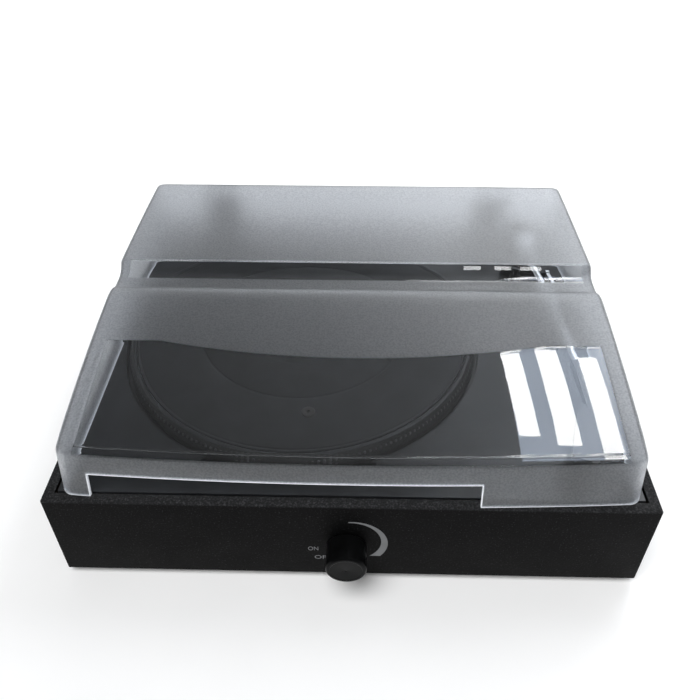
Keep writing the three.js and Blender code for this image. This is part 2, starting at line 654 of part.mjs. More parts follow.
function makeHead(arm) {
  const turn = radians(HEAD_OFFSET_ANGLE);
  const head = new THREE.Group();      // its origin is above the stylus tip
  head.position.set(HEAD_START + HEAD_LENGTH * Math.cos(turn), HEAD_LENGTH * Math.sin(turn), 0);
  head.rotation.z = turn;
  arm.add(head);

  // The neck runs on from the tube and drops to the shell. It is set out as [along, height].
  const overlap = 5;
  const neckBack = TUBE_END + GAP - HEAD_START;
  const neckHalfWidth = 4.5;
  const neck = across([
    [neckBack, ARM_HEIGHT - 4], [overlap, SHELL_BOTTOM + 1], [overlap, SHELL_TOP],
    [neckBack + 12, ARM_HEIGHT + 4], [neckBack, ARM_HEIGHT + 4],
  ], -neckHalfWidth, neckHalfWidth).rotateZ(-Math.PI / 2 - turn).translate(-HEAD_LENGTH, 0, 0);
  const outline = [[-44, -5], [-32, -10], [10, -10], [13, -8], [13, 8], [10, 10], [-32, 10], [-44, 5]];
  const fingerLift = box(-8, 9, SHELL_BOTTOM + 1, -3, 14, SHELL_BOTTOM + 2.6);
  const roof = 1.6;
  const shell = combine(upright(outline, SHELL_BOTTOM, SHELL_TOP), {
    add: [neck, fingerLift],
    cut: [box(-26, -8.2, SHELL_BOTTOM - 1, 8, 8.2, SHELL_TOP - roof)],
  });
  part(head, "headshell", shell, blackPlastic);

  const body = box(-20, -7.5, CARTRIDGE_BOTTOM, 5, 7.5, SHELL_TOP - roof - GAP);
  const noseBottom = CARTRIDGE_BOTTOM - 0.5;
  const nose = across([[-7.5, noseBottom], [7.5, noseBottom], [7.5, 22], [-7.5, 22]], 0, 7);
  part(head, "cartridge", combine(body, { add: [nose] }), blackPlastic);

  const grip = box(-8, -3, 15.2, 6, 3, noseBottom - GAP);
  const cantilever = box(-1, -0.4, 14.2, 1, 0.4, 15.6);
  const tip = new THREE.ConeGeometry(0.6, 1.9, 8).rotateX(-Math.PI / 2).translate(0, 0, 13.55);
  part(head, "stylus", combine(grip, { add: [cantilever, tip] }), blackPlastic);
}

function makeCueing(arm, rodX, rodY) {
  const outer = arc(0, 0, LIFT_RADIUS + 2, -64, 8, 10);
  const inner = arc(0, 0, LIFT_RADIUS - 2, 8, -64, 10);
  const rail = upright([...outer, ...inner], LIFT_TOP - 2.5, LIFT_TOP);
  const rod = cylinder(2, rodX, rodY, 4, LIFT_TOP - 1, 16);
  part(arm, "cue_lift", combine(rail, { add: [rod] }), blackPlastic);

  const lever = new THREE.Group();
  lever.position.set(LEVER_PIVOT_X, LEVER_OFFSET, LEVER_PIVOT_Z);
  arm.add(lever);
  const axle = cylinder(1.5, 0, 0, -9, 1, 16).rotateX(-Math.PI / 2);
  const hub = cylinder(4, 0, 0, -2, 2, 20).rotateX(Math.PI / 2);
  const handle = box(0, -1.6, -1.5, 34, 1.6, 1.5);
  const tab = box(30, -3.5, -1.5, 38, 3.5, 1.5);
  part(lever, "cue_lever", combine(hub, { add: [axle, handle, tab] }), aluminium);
}

function makeArmRest(arm) {
  const seat = ARM_HEIGHT - TUBE_RADIUS - 0.4;
  const x0 = REST_DISTANCE - 5;
  const x1 = REST_DISTANCE + 5;
  const wall = TUBE_RADIUS + 0.8;
  const hook = across([
    [-6, seat - 5], [wall + 3, seat - 5], [wall + 3, ARM_HEIGHT + 4], [wall, ARM_HEIGHT + 4],
    [wall, seat], [-6, seat],
  ], x0, x1);
  const post = combine(cylinder(6, REST_DISTANCE, 0, GAP, seat - 2, 24), { add: [hook] });
  part(arm, "arm_rest", post, blackPlastic);

  // The clip stands open, and folds over the tube.
  const hingeY = wall + 1.5;
  const hingeZ = ARM_HEIGHT + 4 + GAP + 2;
  const clip = new THREE.Group();
  clip.position.set(REST_DISTANCE, hingeY, hingeZ);
  arm.add(clip);
  const barrel = cylinderAlongX(2, 0, 0, -4.5, 4.5, 20);
  const strapLength = 9.5;
  const strap = box(-3.5, -1, 0, 3.5, 1, strapLength);
  const lip = box(-3.5, -3, strapLength - 2, 3.5, 0, strapLength);
  part(clip, "arm_rest_clip", combine(barrel, { add: [strap, lip] }), blackPlastic);
}

// ---------------------------------------------------------------- dust cover

// The cover's outer side profile as [distance from the case front, height above the rim].
// The front part swells up to a crest, steps down behind it, and a level tier covers the rear.
const COVER_FRONT_BASE = 6.8;
const COVER_REAR_BASE = 364;
const COVER_FRONT_TOP = [14.4, 36.9];
const COVER_CREST = [179.3, 60.3];
const COVER_STEP_FOOT = [186, 54.5];
const COVER_TIER_FOOT = [208, 55];
const COVER_TIER_FRONT = [215.5, 63.8];
const COVER_REAR_TOP = [359.7, 61];
const COVER_FRONT_SWELL = 2.6;      // the top's rise above a straight line, in its middle
const COVER_TIER_SWELL = 0.7;
const COVER_BELOW_RIM = -5;         // the hollow is cut from down here

// Points from one end to the other, raised in the middle by the given amount.
function swell([y0, z0], [y1, z1], rise, steps) {
  const points = [];
  for (let i = 0; i <= steps; i += 1) {
    const t = i / steps;
    points.push({ y: y0 + (y1 - y0) * t, z: z0 + (z1 - z0) * t + 4 * rise * t * (1 - t) });
  }
  return points;
}

// The profile moved inwards by the given amount. Each point says which wall it is on.
function coverProfile(inward) {
  const lowered = ([y, z], towards) => [y + towards * inward, z - inward];
  const bottom = inward > 0 ? COVER_BELOW_RIM : COVER_LIFT;
  const shallow = 0.4;                 // share of the move that goes sideways at blunt corners
  const [stepY, stepZ] = lowered(COVER_STEP_FOOT, -shallow);
  const [tierY, tierZ] = lowered(COVER_TIER_FOOT, shallow);
  const frontEnds = [lowered(COVER_FRONT_TOP, 1), lowered(COVER_CREST, -shallow)];
  const rearEnds = [lowered(COVER_TIER_FRONT, shallow), lowered(COVER_REAR_TOP, -1)];
  const front = swell(...frontEnds, COVER_FRONT_SWELL, 8);
  const rear = swell(...rearEnds, COVER_TIER_SWELL, 4);
  front[0].wall = "front";
  rear.at(-1).wall = "rear";
  return [
    { y: COVER_FRONT_BASE + inward, z: bottom, wall: "front", isBottom: true },
    ...front,
    { y: stepY, z: stepZ },
    { y: tierY, z: tierZ },
    ...rear,
    { y: COVER_REAR_BASE - inward, z: bottom, wall: "rear", isBottom: true },
  ];
}

// How far the front is pushed out at a distance x from the middle and y from the case front.
function bowAt(x, y) {
  const fade = 1 - THREE.MathUtils.smoothstep(y, COVER_FRONT_TOP[0] + 10, COVER_CREST[0]);
  return COVER_BOW * (1 - (x / COVER_HALF_WIDTH) ** 2) * fade;
}

// Distances across the cover at which its profile is set out, closer together at the
// rounded side edges.
function coverStations(half, corner) {
  const edgeSteps = 5;
  const middleSteps = 12;
  const flat = half - corner;
  const edge = [];
  for (let i = 0; i < edgeSteps; i += 1) {
    edge.push(flat + corner * Math.cos((i * Math.PI) / (2 * edgeSteps)));
  }
  const middle = [];
  for (let i = 0; i <= middleSteps; i += 1) middle.push(flat * ((2 * i) / middleSteps - 1));
  return [...edge.map((x) => -x), ...middle, ...edge.toReversed()];
}

// How far a quarter round of this radius has fallen away at a distance x from the middle.
function roundedDepth(x, half, radius) {
  const past = Math.max(0, Math.abs(x) - (half - radius));
  return radius - Math.sqrt(Math.max(0, radius ** 2 - past ** 2));
}

// A solid lofted from side to side, its upright corners and side edges rounded.
function coverBody(inward) {
  const half = COVER_HALF_WIDTH - inward;
  const corner = COVER_CORNER - inward;
  const profile = coverProfile(inward);
  const stations = coverStations(half, corner);
  const vertices = [];
  for (const x of stations) {
    const inset = roundedDepth(x, half, corner);
    const drop = roundedDepth(x, half, COVER_EDGE);
    for (const { y, z, wall, isBottom } of profile) {
      let shifted = y - bowAt(x, y);
      if (wall === "front") shifted += inset;
      if (wall === "rear") shifted -= inset;
      vertices.push(x, FRONT_Y + shifted, RIM_Z + (isBottom ? z : z - drop));
    }
  }
  const count = profile.length;
  const faces = [];
  for (let s = 0; s < stations.length - 1; s += 1) {
    for (let k = 0; k < count; k += 1) {
      const next = (k + 1) % count;
      const [a, b] = [s * count + k, s * count + next];
      const [c, d] = [a + count, b + count];
      faces.push(a, c, b, b, c, d);
    }
  }
  const outline = profile.map(({ y, z }) => new THREE.Vector2(y, z));
  const last = (stations.length - 1) * count;
  for (const [p, q, r] of THREE.ShapeUtils.triangulateShape(outline, [])) {
    faces.push(p, r, q);
    faces.push(last + p, last + q, last + r);
  }
  const geometry = new THREE.BufferGeometry();
  geometry.setAttribute("position", new THREE.BufferAttribute(new Float32Array(vertices), 3));
  geometry.setIndex(faces);
  return geometry;
}

const HINGE_AXIS_Y = REAR_Y + 5.4;
const HINGE_AXIS_Z = RIM_Z - 4;
const KNUCKLE_RADIUS = HINGE_REACH - 5.4;
const TONGUE_Y = REAR_Y - 5.1;      // front face of the tongue that fits the cover's socket
const TONGUE_THICKNESS = 2.2;
const TONGUE_HALF_WIDTH = 14.5;
const SOCKET_BOTTOM = RIM_Z + 3.6;
const SOCKET_TOP = RIM_Z + 52;
const BARREL_RADIUS = 4.2;
const BARREL_HALF_WIDTH = 10.8;
const KNUCKLE_START = 11.2;         // knuckles fill the hinge's width outside the barrel
const PIN_RADIUS = 1.8;

function makeCover() {
  const group = new THREE.Group();
  const sockets = [];
  const slots = [];
  for (const side of [-1, 1]) {
    const x = side * HINGE_X;
    const half = HINGE_WIDTH / 2;
    sockets.push(box(x - half, REAR_Y - 12, SOCKET_BOTTOM, x + half, REAR_Y - 0.4, SOCKET_TOP));
    slots.push(box(
      x - TONGUE_HALF_WIDTH - GAP, TONGUE_Y - GAP, SOCKET_BOTTOM - 4,
      x + TONGUE_HALF_WIDTH + GAP, TONGUE_Y + TONGUE_THICKNESS + GAP, RIM_Z + 40,
    ));
  }
  const cutout = box(
    CUTOUT_LEFT, FRONT_Y - 5, RIM_Z + COVER_BELOW_RIM,
    CUTOUT_RIGHT, FRONT_Y + 25, RIM_Z + CUTOUT_HEIGHT,
  );
  const shell = combine(coverBody(0), { add: sockets, cut: [coverBody(COVER_WALL), cutout, ...slots] });
  part(group, "dust_cover", shell, clearPlastic);

  for (const [name, side] of [["left", -1], ["right", 1]]) {
    const x = side * HINGE_X;
    const legBottom = RIM_Z + 1;
    const legTop = RIM_Z + 3.2;
    const left = x - BARREL_HALF_WIDTH;
    const right = x + BARREL_HALF_WIDTH;
    const webBack = HINGE_AXIS_Y + 1.6;
    const tongue = box(
      x - TONGUE_HALF_WIDTH, TONGUE_Y, legBottom,
      x + TONGUE_HALF_WIDTH, TONGUE_Y + TONGUE_THICKNESS, RIM_Z + 38,
    );
    const leg = box(left, TONGUE_Y, legBottom, right, webBack, legTop);
    const web = box(left, HINGE_AXIS_Y - 2.4, HINGE_AXIS_Z, right, webBack, legTop);
    const barrel = cylinderAlongX(BARREL_RADIUS, HINGE_AXIS_Y, HINGE_AXIS_Z, left, right, 24);
    const bore = cylinderAlongX(PIN_RADIUS + GAP, HINGE_AXIS_Y, HINGE_AXIS_Z, x - 30, x + 30, 16);
    part(group, `hinge_arm_${name}`, combine(tongue, { add: [leg, web, barrel], cut: [bore] }), steel);

    const half = HINGE_WIDTH / 2;
    const plate = box(x - half, REAR_Y + GAP, RIM_Z - 30, x + half, REAR_Y + 2, RIM_Z - 9.2);
    const knuckles = [];
    for (const end of [-1, 1]) {
      const x0 = Math.min(x + end * KNUCKLE_START, x + end * half);
      const x1 = Math.max(x + end * KNUCKLE_START, x + end * half);
      knuckles.push(cylinderAlongX(KNUCKLE_RADIUS, HINGE_AXIS_Y, HINGE_AXIS_Z, x0, x1, 24));
      knuckles.push(box(x0, REAR_Y + GAP, RIM_Z - 12, x1, HINGE_AXIS_Y, HINGE_AXIS_Z));
    }
    part(group, `hinge_bracket_${name}`, combine(plate, { add: knuckles, cut: [bore] }), steel);
    const pinHalf = half + 0.5;
    const pin = cylinderAlongX(PIN_RADIUS, HINGE_AXIS_Y, HINGE_AXIS_Z, x - pinHalf, x + pinHalf, 16);
    part(group, `hinge_pin_${name}`, pin, steel);
  }
  return group;
}

// ---------------------------------------------------------------- whole machine

const recordPlayer = new THREE.Group();
recordPlayer.name = "record_player";
recordPlayer.add(
  makeCase(), makeBase(), makeSpeakers(), makeElectronics(), makeControl(),
  makeDeck(), makePlatter(), makeDrive(), makeTonearm(), makeCover(),
);

export default recordPlayer;
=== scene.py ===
"""Record player with a hinged, partly frosted dust cover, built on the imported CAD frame.

Lengths are in millimetres in the tables below and are turned into metres by MM.
"""

import json
import math

import bpy
from mathutils import Matrix, Vector


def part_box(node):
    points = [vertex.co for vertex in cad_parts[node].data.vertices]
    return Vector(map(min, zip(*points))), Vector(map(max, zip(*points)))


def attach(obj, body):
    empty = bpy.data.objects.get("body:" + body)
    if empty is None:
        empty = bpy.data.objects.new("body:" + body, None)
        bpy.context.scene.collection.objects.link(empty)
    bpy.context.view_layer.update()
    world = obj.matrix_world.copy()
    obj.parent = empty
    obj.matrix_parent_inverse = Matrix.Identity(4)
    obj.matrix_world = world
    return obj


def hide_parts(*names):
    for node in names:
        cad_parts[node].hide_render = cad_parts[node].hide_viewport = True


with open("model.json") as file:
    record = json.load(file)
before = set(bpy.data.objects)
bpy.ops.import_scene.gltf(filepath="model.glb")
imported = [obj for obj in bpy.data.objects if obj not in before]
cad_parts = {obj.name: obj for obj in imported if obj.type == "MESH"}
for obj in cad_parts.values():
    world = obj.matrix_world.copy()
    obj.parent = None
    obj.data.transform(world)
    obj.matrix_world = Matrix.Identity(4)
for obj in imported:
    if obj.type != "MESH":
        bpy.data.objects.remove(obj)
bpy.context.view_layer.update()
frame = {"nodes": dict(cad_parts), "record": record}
nodes = frame["nodes"]

MM = 0.001
case_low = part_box("front_panel")[0] / MM
case_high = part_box("front_panel")[1] / MM
rear_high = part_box("rear_panel")[1] / MM
FRONT = case_low.y                # outer face of the case front
REAR = rear_high.y
RIM = case_high.z                 # top edge of the case
HALF_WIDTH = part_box("right_panel")[1].x / MM


# ------------------------------------------------------------------ camera

def make_camera():
    data = bpy.data.cameras.new("camera")
    data.sensor_width = 36.0
    data.lens = 37.05
    data.shift_y = -0.0648
    data.clip_start = 0.01
    camera = bpy.data.objects.new("camera", data)
    bpy.context.scene.collection.objects.link(camera)
    yaw, pitch, roll = (math.radians(a) for a in (-1.398, 38.588, -0.147))
    forward = Vector((math.sin(yaw) * math.cos(pitch), math.cos(yaw) * math.cos(pitch), -math.sin(pitch)))
    level = Vector((math.cos(yaw), -math.sin(yaw), 0))
    rise = level.cross(forward)
    right = math.cos(roll) * level + math.sin(roll) * rise
    up = -math.sin(roll) * level + math.cos(roll) * rise
    camera.matrix_world = Matrix((
        (right.x, up.x, -forward.x, 0.008625),
        (right.y, up.y, -forward.y, -0.492986),
        (right.z, up.z, -forward.z, 0.529353),
        (0, 0, 0, 1),
    ))
    bpy.context.scene.camera = camera
    return camera


camera = make_camera()


# ------------------------------------------------------------------ materials

class Nodes:
    """Short-hand for building one node tree."""

    def __init__(self, name):
        self.material = bpy.data.materials.new(name)
        self.material.use_nodes = True
        self.tree = self.material.node_tree
        self.shader = self.tree.nodes["Principled BSDF"]
        self.coords = self.add("ShaderNodeTexCoord")

    def add(self, kind, **settings):
        node = self.tree.nodes.new(kind)
        for key, value in settings.items():
            if key in node.inputs:
                node.inputs[key].default_value = value
            else:
                setattr(node, key, value)
        return node

    def link(self, a, b):
        self.tree.links.new(a, b)

    def set(self, **values):
        for key, value in values.items():
            self.shader.inputs[key.replace("_", " ")].default_value = value

    def noise(self, size, detail=3.0, roughness=0.55, stretch=(1, 1, 1)):
        """Noise with features of about size millimetres."""
        mapping = self.add("ShaderNodeMapping")
        mapping.inputs["Scale"].default_value = stretch
        self.link(self.coords.outputs["Object"], mapping.inputs["Vector"])
        texture = self.add("ShaderNodeTexNoise", Scale=1 / (size * MM), Detail=detail, Roughness=roughness)
        self.link(mapping.outputs["Vector"], texture.inputs["Vector"])
        return texture.outputs["Fac"]

    def ramp(self, value, stops):
        node = self.add("ShaderNodeValToRGB")
        ramp = node.color_ramp
        while len(ramp.elements) < len(stops):
            ramp.elements.new(0.5)
        for element, (place, colour) in zip(ramp.elements, stops):
            element.position = place
            element.color = (*colour, 1) if len(colour) == 3 else colour
        self.link(value, node.inputs["Fac"])
        return node.outputs["Color"]

    def span(self, value, low, high):
        node = self.add("ShaderNodeMapRange")
        node.inputs["To Min"].default_value = low
        node.inputs["To Max"].default_value = high
        self.link(value, node.inputs["Value"])
        return node.outputs["Result"]

    def bump(self, height, strength, depth, before=None):
        node = self.add("ShaderNodeBump", Strength=strength, Distance=depth * MM)
        self.link(height, node.inputs["Height"])
        if before is not None:
            self.link(before, node.inputs["Normal"])
        return node.outputs["Normal"]


def moulded(name, dark, light, roughness, grain=0.6, depth=0.02, patch=18.0, **fixed):
    """Plastic, paint or rubber: patchy tone, fine moulded grain, roughness that varies a little."""
    n = Nodes(name)
    tone = n.noise(patch, 4)
    n.link(n.ramp(tone, [(0.3, dark), (0.7, light)]), n.shader.inputs["Base Color"])
    n.link(n.span(n.noise(patch / 3, 5), roughness - 0.07, roughness + 0.07), n.shader.inputs["Roughness"])
    n.link(n.bump(n.noise(grain, 4), 0.35, depth), n.shader.inputs["Normal"])
    n.set(**fixed)
    return n.material


def brushed(name, dark, light, roughness, along=(1, 1, 1), grain=0.25, **fixed):
    """Metal with a drawn or turned finish."""
    n = Nodes(name)
    lines = n.noise(grain, 3, stretch=along)
    n.link(n.ramp(n.noise(9, 4), [(0.3, dark), (0.7, light)]), n.shader.inputs["Base Color"])
    n.link(n.span(lines, roughness - 0.08, roughness + 0.1), n.shader.inputs["Roughness"])
    n.link(n.bump(lines, 0.2, 0.01), n.shader.inputs["Normal"])
    n.set(Metallic=1.0, **fixed)
    return n.material


def vinyl():
    """Leather-grained black wrap: pebbled cells and fine specks of grain, with the top of the rim painted lighter as a
    painted highlight from the light above.
    """
    n = Nodes("case_wrap")
    cells = n.add("ShaderNodeTexVoronoi", Scale=1 / (0.95 * MM))
    cells.feature = "SMOOTH_F1"
    n.link(n.coords.outputs["Object"], cells.inputs["Vector"])
    specks = n.noise(1.4, 2, 0.6)
    wrap = n.ramp(specks, [(0.4, (0.0015, 0.0015, 0.0016)), (0.6, (0.003, 0.0031, 0.0032)),
                           (0.72, (0.02, 0.02, 0.021))])
    # Painted highlight: a lighter speckled colour for the rim's top, standing in for the light that falls on it from
    # above.
    painted_top_light = n.ramp(specks, [(0.3, (0.012, 0.0121, 0.0125)), (0.52, (0.02, 0.0203, 0.0212)),
                            (0.72, (0.05, 0.051, 0.053))])
    height = n.add("ShaderNodeSeparateXYZ")
    n.link(n.coords.outputs["Object"], height.inputs["Vector"])
    # Painted highlight mask: rises from 1.6 mm below the rim's top to 0.2 mm below it, by height alone.
    painted_top_mask = n.add("ShaderNodeMapRange")
    painted_top_mask.inputs["From Min"].default_value = (RIM - 1.6) * MM
    painted_top_mask.inputs["From Max"].default_value = (RIM - 0.2) * MM
    n.link(height.outputs["Z"], painted_top_mask.inputs["Value"])
    mixed = n.add("ShaderNodeMix", data_type="RGBA")
    n.link(painted_top_mask.outputs["Result"], mixed.inputs["Factor"])
    n.link(wrap, mixed.inputs[6])
    n.link(painted_top_light, mixed.inputs[7])
    n.link(mixed.outputs[2], n.shader.inputs["Base Color"])
    n.link(n.span(n.noise(30, 4), 0.5, 0.66), n.shader.inputs["Roughness"])
    pebbles = n.bump(cells.outputs["Distance"], 0.55, 0.12)
    n.link(n.bump(n.noise(0.3, 3), 0.3, 0.03, pebbles), n.shader.inputs["Normal"])
    n.set(Specular_IOR_Level=0.06)
    return n.material


def frosted():
    """The etched part of the cover: scatters light, sparkles finely, and hides what is under it."""
    n = Nodes("cover_frosted")
    n.link(n.ramp(n.noise(1.5, 3), [(0.38, (0.62, 0.64, 0.67)), (0.62, (0.93, 0.95, 0.98))]),
           n.shader.inputs["Base Color"])
    n.link(n.span(n.noise(14, 4), 0.36, 0.44), n.shader.inputs["Roughness"])
    coarse = n.bump(n.noise(1.3, 3), 0.6, 0.12)
    n.link(n.bump(n.noise(0.35, 2), 0.4, 0.02, coarse), n.shader.inputs["Normal"])
    n.set(Transmission_Weight=0.97, IOR=1.49)
    return n.material


def clear():
    """The clear part of the cover, with a few hairline scuffs in its gloss."""
    n = Nodes("cover_clear")
    scuffs = n.noise(1.2, 5, 0.7, stretch=(1, 0.06, 1))
    n.link(n.ramp(scuffs, [(0.55, (0.0, 0.0, 0.0)), (0.8, (0.09, 0.09, 0.09))]), n.shader.inputs["Roughness"])
    n.link(n.ramp(n.noise(40, 3), [(0.3, (0.93, 0.95, 0.97)), (0.7, (0.96, 0.975, 0.99))]),
           n.shader.inputs["Base Color"])
    n.link(n.bump(n.noise(45, 2), 0.15, 0.12), n.shader.inputs["Normal"])
    n.set(Transmission_Weight=1.0, IOR=1.49)
    return n.material


def painted_glow_edge():
    """The cover's bare edges, given a painted glow: a pale colour and a weak emission stand in for light carried inside
    the sheet and coming out at its edges.
    """
    n = Nodes("cover_edge_painted_glow")
    n.link(n.ramp(n.noise(6, 4), [(0.3, (0.75, 0.78, 0.82)), (0.7, (0.95, 0.97, 1.0))]),
           n.shader.inputs["Base Color"])
    n.link(n.span(n.noise(1.5, 3), 0.12, 0.3), n.shader.inputs["Roughness"])
    # Painted glow: emission on the edges, which are no lamp.
    n.set(Transmission_Weight=0.25, IOR=1.49, Emission_Color=(0.9, 0.94, 1.0, 1), Emission_Strength=0.3)
    return n.material


def mat_rubber():
    """Record mat: fine moulded rings round the spindle, and a dusting of lighter wear."""
    n = Nodes("mat_ribbed_rubber")
    centre = (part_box("platter_mat")[0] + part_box("platter_mat")[1]) / 2
    mapping = n.add("ShaderNodeMapping")
    mapping.vector_type = "POINT"
    mapping.inputs["Location"].default_value = (-centre.x, -centre.y, -centre.z)
    n.link(n.coords.outputs["Object"], mapping.inputs["Vector"])
    rings = n.add("ShaderNodeTexWave", Scale=1 / (20 * 1.1 * MM))
    rings.wave_type = "RINGS"
    rings.rings_direction = "Z"
    n.link(mapping.outputs["Vector"], rings.inputs["Vector"])
    n.link(n.ramp(n.noise(22, 5), [(0.3, (0.013, 0.0137, 0.0147)), (0.7, (0.023, 0.0242, 0.0262))]),
           n.shader.inputs["Base Color"])
    n.link(n.span(n.noise(8, 4), 0.5, 0.62), n.shader.inputs["Roughness"])
    ribs = n.bump(rings.outputs["Fac"], 0.25, 0.06)
    n.link(n.bump(n.noise(0.5, 3), 0.25, 0.02, ribs), n.shader.inputs["Normal"])
    return n.material


black = (0.010, 0.0105, 0.011)
soot = (0.020, 0.021, 0.022)
MATERIALS = {
    "case_vinyl": vinyl(),
    "board": moulded("fibreboard", (0.22, 0.14, 0.075), (0.36, 0.25, 0.15), 0.85, 1.2, 0.08, 9),
    "steel": brushed("plated_steel", (0.42, 0.43, 0.44), (0.58, 0.59, 0.6), 0.3),
    "foot_rubber": moulded("rubber_black", (0.012, 0.012, 0.012), (0.022, 0.022, 0.022), 0.8, 0.5, 0.03),
    "mat_rubber": mat_rubber(),
    "platter_metal": brushed("turned_aluminium", (0.42, 0.43, 0.45), (0.58, 0.6, 0.62), 0.34),
    "bright_metal": brushed("bright_plate", (0.78, 0.79, 0.8), (0.9, 0.91, 0.92), 0.14),
    "brass": brushed("brass", (0.6, 0.42, 0.16), (0.76, 0.56, 0.26), 0.3),
    "deck_plastic": moulded("deck_satin", (0.018, 0.019, 0.021), (0.028, 0.03, 0.033), 0.34, 0.7, 0.03, 30),
    "clear_plastic": frosted(),
    "knob_plastic": moulded("knob_satin", (0.002, 0.0021, 0.0022), (0.004, 0.0042, 0.0044), 0.3, 0.5, 0.01, Specular_IOR_Level=0.07),
    "black_plastic": moulded("plastic_satin", black, soot, 0.36, 0.5, 0.02),
    "paper": moulded("cone_paper", (0.018, 0.017, 0.016), (0.04, 0.038, 0.035), 0.95, 0.8, 0.08, 5),
    "laminate": moulded("board_laminate", (0.03, 0.12, 0.05), (0.05, 0.18, 0.08), 0.5, 2.0, 0.02, 6),
}
SLOT_OF = {s["node"]: s["material_slot"] for s in frame["record"]["subparts"]}


# ------------------------------------------------------------------ mesh helpers

def build(name, vertices, faces, materials, body, indices=None, smooth=True, unit=MM):
    mesh = bpy.data.meshes.new(name)
    mesh.from_pydata([Vector(v) * unit for v in vertices], [], faces)
    for material in materials:
        mesh.materials.append(material)
    for i, polygon in enumerate(mesh.polygons):
        polygon.use_smooth = smooth
        if indices:
            polygon.material_index = indices[i]
    mesh.update()
    piece = bpy.data.objects.new(name, mesh)
    bpy.context.scene.collection.objects.link(piece)
    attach(piece, body)
    return piece


def bevel(piece, width, segments=3, angle=35):
    modifier = piece.modifiers.new("edges", "BEVEL")
    modifier.width = width * MM
    modifier.segments = segments
    modifier.limit_method = "ANGLE"
    modifier.angle_limit = math.radians(angle)
    modifier.harden_normals = False
    normals = piece.modifiers.new("normals", "WEIGHTED_NORMAL")
    normals.keep_sharp = True


def turned(outline, centre, steps=160, closed=True):
    """Turns [radius, height] points about an upright axis. Returns vertices, faces and, for
    each face, the number of the outline step that it belongs to."""
    vertices, faces, parts = [], [], []
    count = len(outline)
    for i in range(steps):
        a = 2 * math.pi * i / steps
        for radius, height in outline:
            vertices.append((centre[0] + radius * math.cos(a), centre[1] + radius * math.sin(a), centre[2] + height))
    for i in range(steps):
        j = (i + 1) % steps
        for k in range(count if closed else count - 1):
            m = (k + 1) % count
            faces.append((i * count + k, j * count + k, j * count + m, i * count + m))
            parts.append(k)
    return vertices, faces, parts


def rounded(outline, radius, steps=3, closed=True):
    """Cuts each corner of an outline of [a, b] points with a short curve."""
    points = []
    count = len(outline)
    for i, corner in enumerate(outline):
        if not closed and i in (0, count - 1):
            points.append(tuple(corner))
            continue
        before, after = Vector(outline[i - 1]), Vector(outline[(i + 1) % count])
        here = Vector(corner)
        reach = min(radius, (before - here).length * 0.45, (after - here).length * 0.45)
        start = here + (before - here).normalized() * reach
        end = here + (after - here).normalized() * reach
        for s in range(steps + 1):
            t = s / steps
            p = start * (1 - t) ** 2 + here * 2 * t * (1 - t) + end * t ** 2
            points.append(tuple(p))
    return points


# ------------------------------------------------------------------ carried-over CAD nodes

def dress(name, width):
    piece = nodes[name]
    piece.data.materials.clear()
    piece.data.materials.append(MATERIALS[SLOT_OF[name]])
    for polygon in piece.data.polygons:
        polygon.material_index = 0
        polygon.use_smooth = True
    weld = piece.modifiers.new("weld", "WELD")
    weld.merge_threshold = 0.00002
    bevel(piece, width, 2, 32)


EDGE_WIDTH = {
    "deck_plate": 0.5, "tonearm_tube": 0.4, "base_panel": 0.3, "stylus": 0.06, "drive_belt": 0.1,
    "amplifier_board": 0.2, "platter_spindle": 0.3, "control_shaft": 0.3, "tonearm_pivot_pin": 0.2,
}
for node in nodes:
    dress(node, EDGE_WIDTH.get(node, 0.35))
nodes["mat_button"].data.materials[0] = moulded("button_grey", (0.05, 0.046, 0.043), (0.075, 0.07, 0.066), 0.45)


# ------------------------------------------------------------------ case

def make_case():
    """One wrapped box: four walls with rounded corners and rolled rim edges."""
    wall = HALF_WIDTH - (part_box("deck_plate")[1].x / MM + 1)
    bottom = case_low.z
    outline = rounded([(0, bottom), (0, RIM), (wall, RIM), (wall, bottom)], 1.1, 4)
    corner = 1.6
    steps = 6
    base = []
    for sx, sy, start in ((1, 1, 0), (-1, 1, 90), (-1, -1, 180), (1, -1, 270)):
        cx = sx * (HALF_WIDTH - corner)
        cy = (REAR - corner) if sy > 0 else (FRONT + corner)
        for i in range(steps + 1):
            a = math.radians(start + 90 * i / steps)
            base.append((cx, cy, math.cos(a), math.sin(a)))
    vertices, faces = [], []
    count = len(outline)
    for cx, cy, nx, ny in base:
        for inward, z in outline:
            if inward <= corner:
                reach = corner - inward
                vertices.append((cx + nx * reach, cy + ny * reach, z))
            else:
                past = inward - corner
                sx, sy = math.copysign(1, cx), (1 if cy > 0 else -1)
                vertices.append((cx - sx * past, cy - sy * past, z))
    total = len(base)
    for i in range(total):
        j = (i + 1) % total
        for k in range(count):
            m = (k + 1) % count
            faces.append((i * count + k, i * count + m, j * count + m, j * count + k))
    piece = build("case_wrap", vertices, faces, [MATERIALS["case_vinyl"]], "case")
    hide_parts("front_panel", "rear_panel", "left_panel", "right_panel")
    return piece


make_case()


# ------------------------------------------------------------------ platter and mat

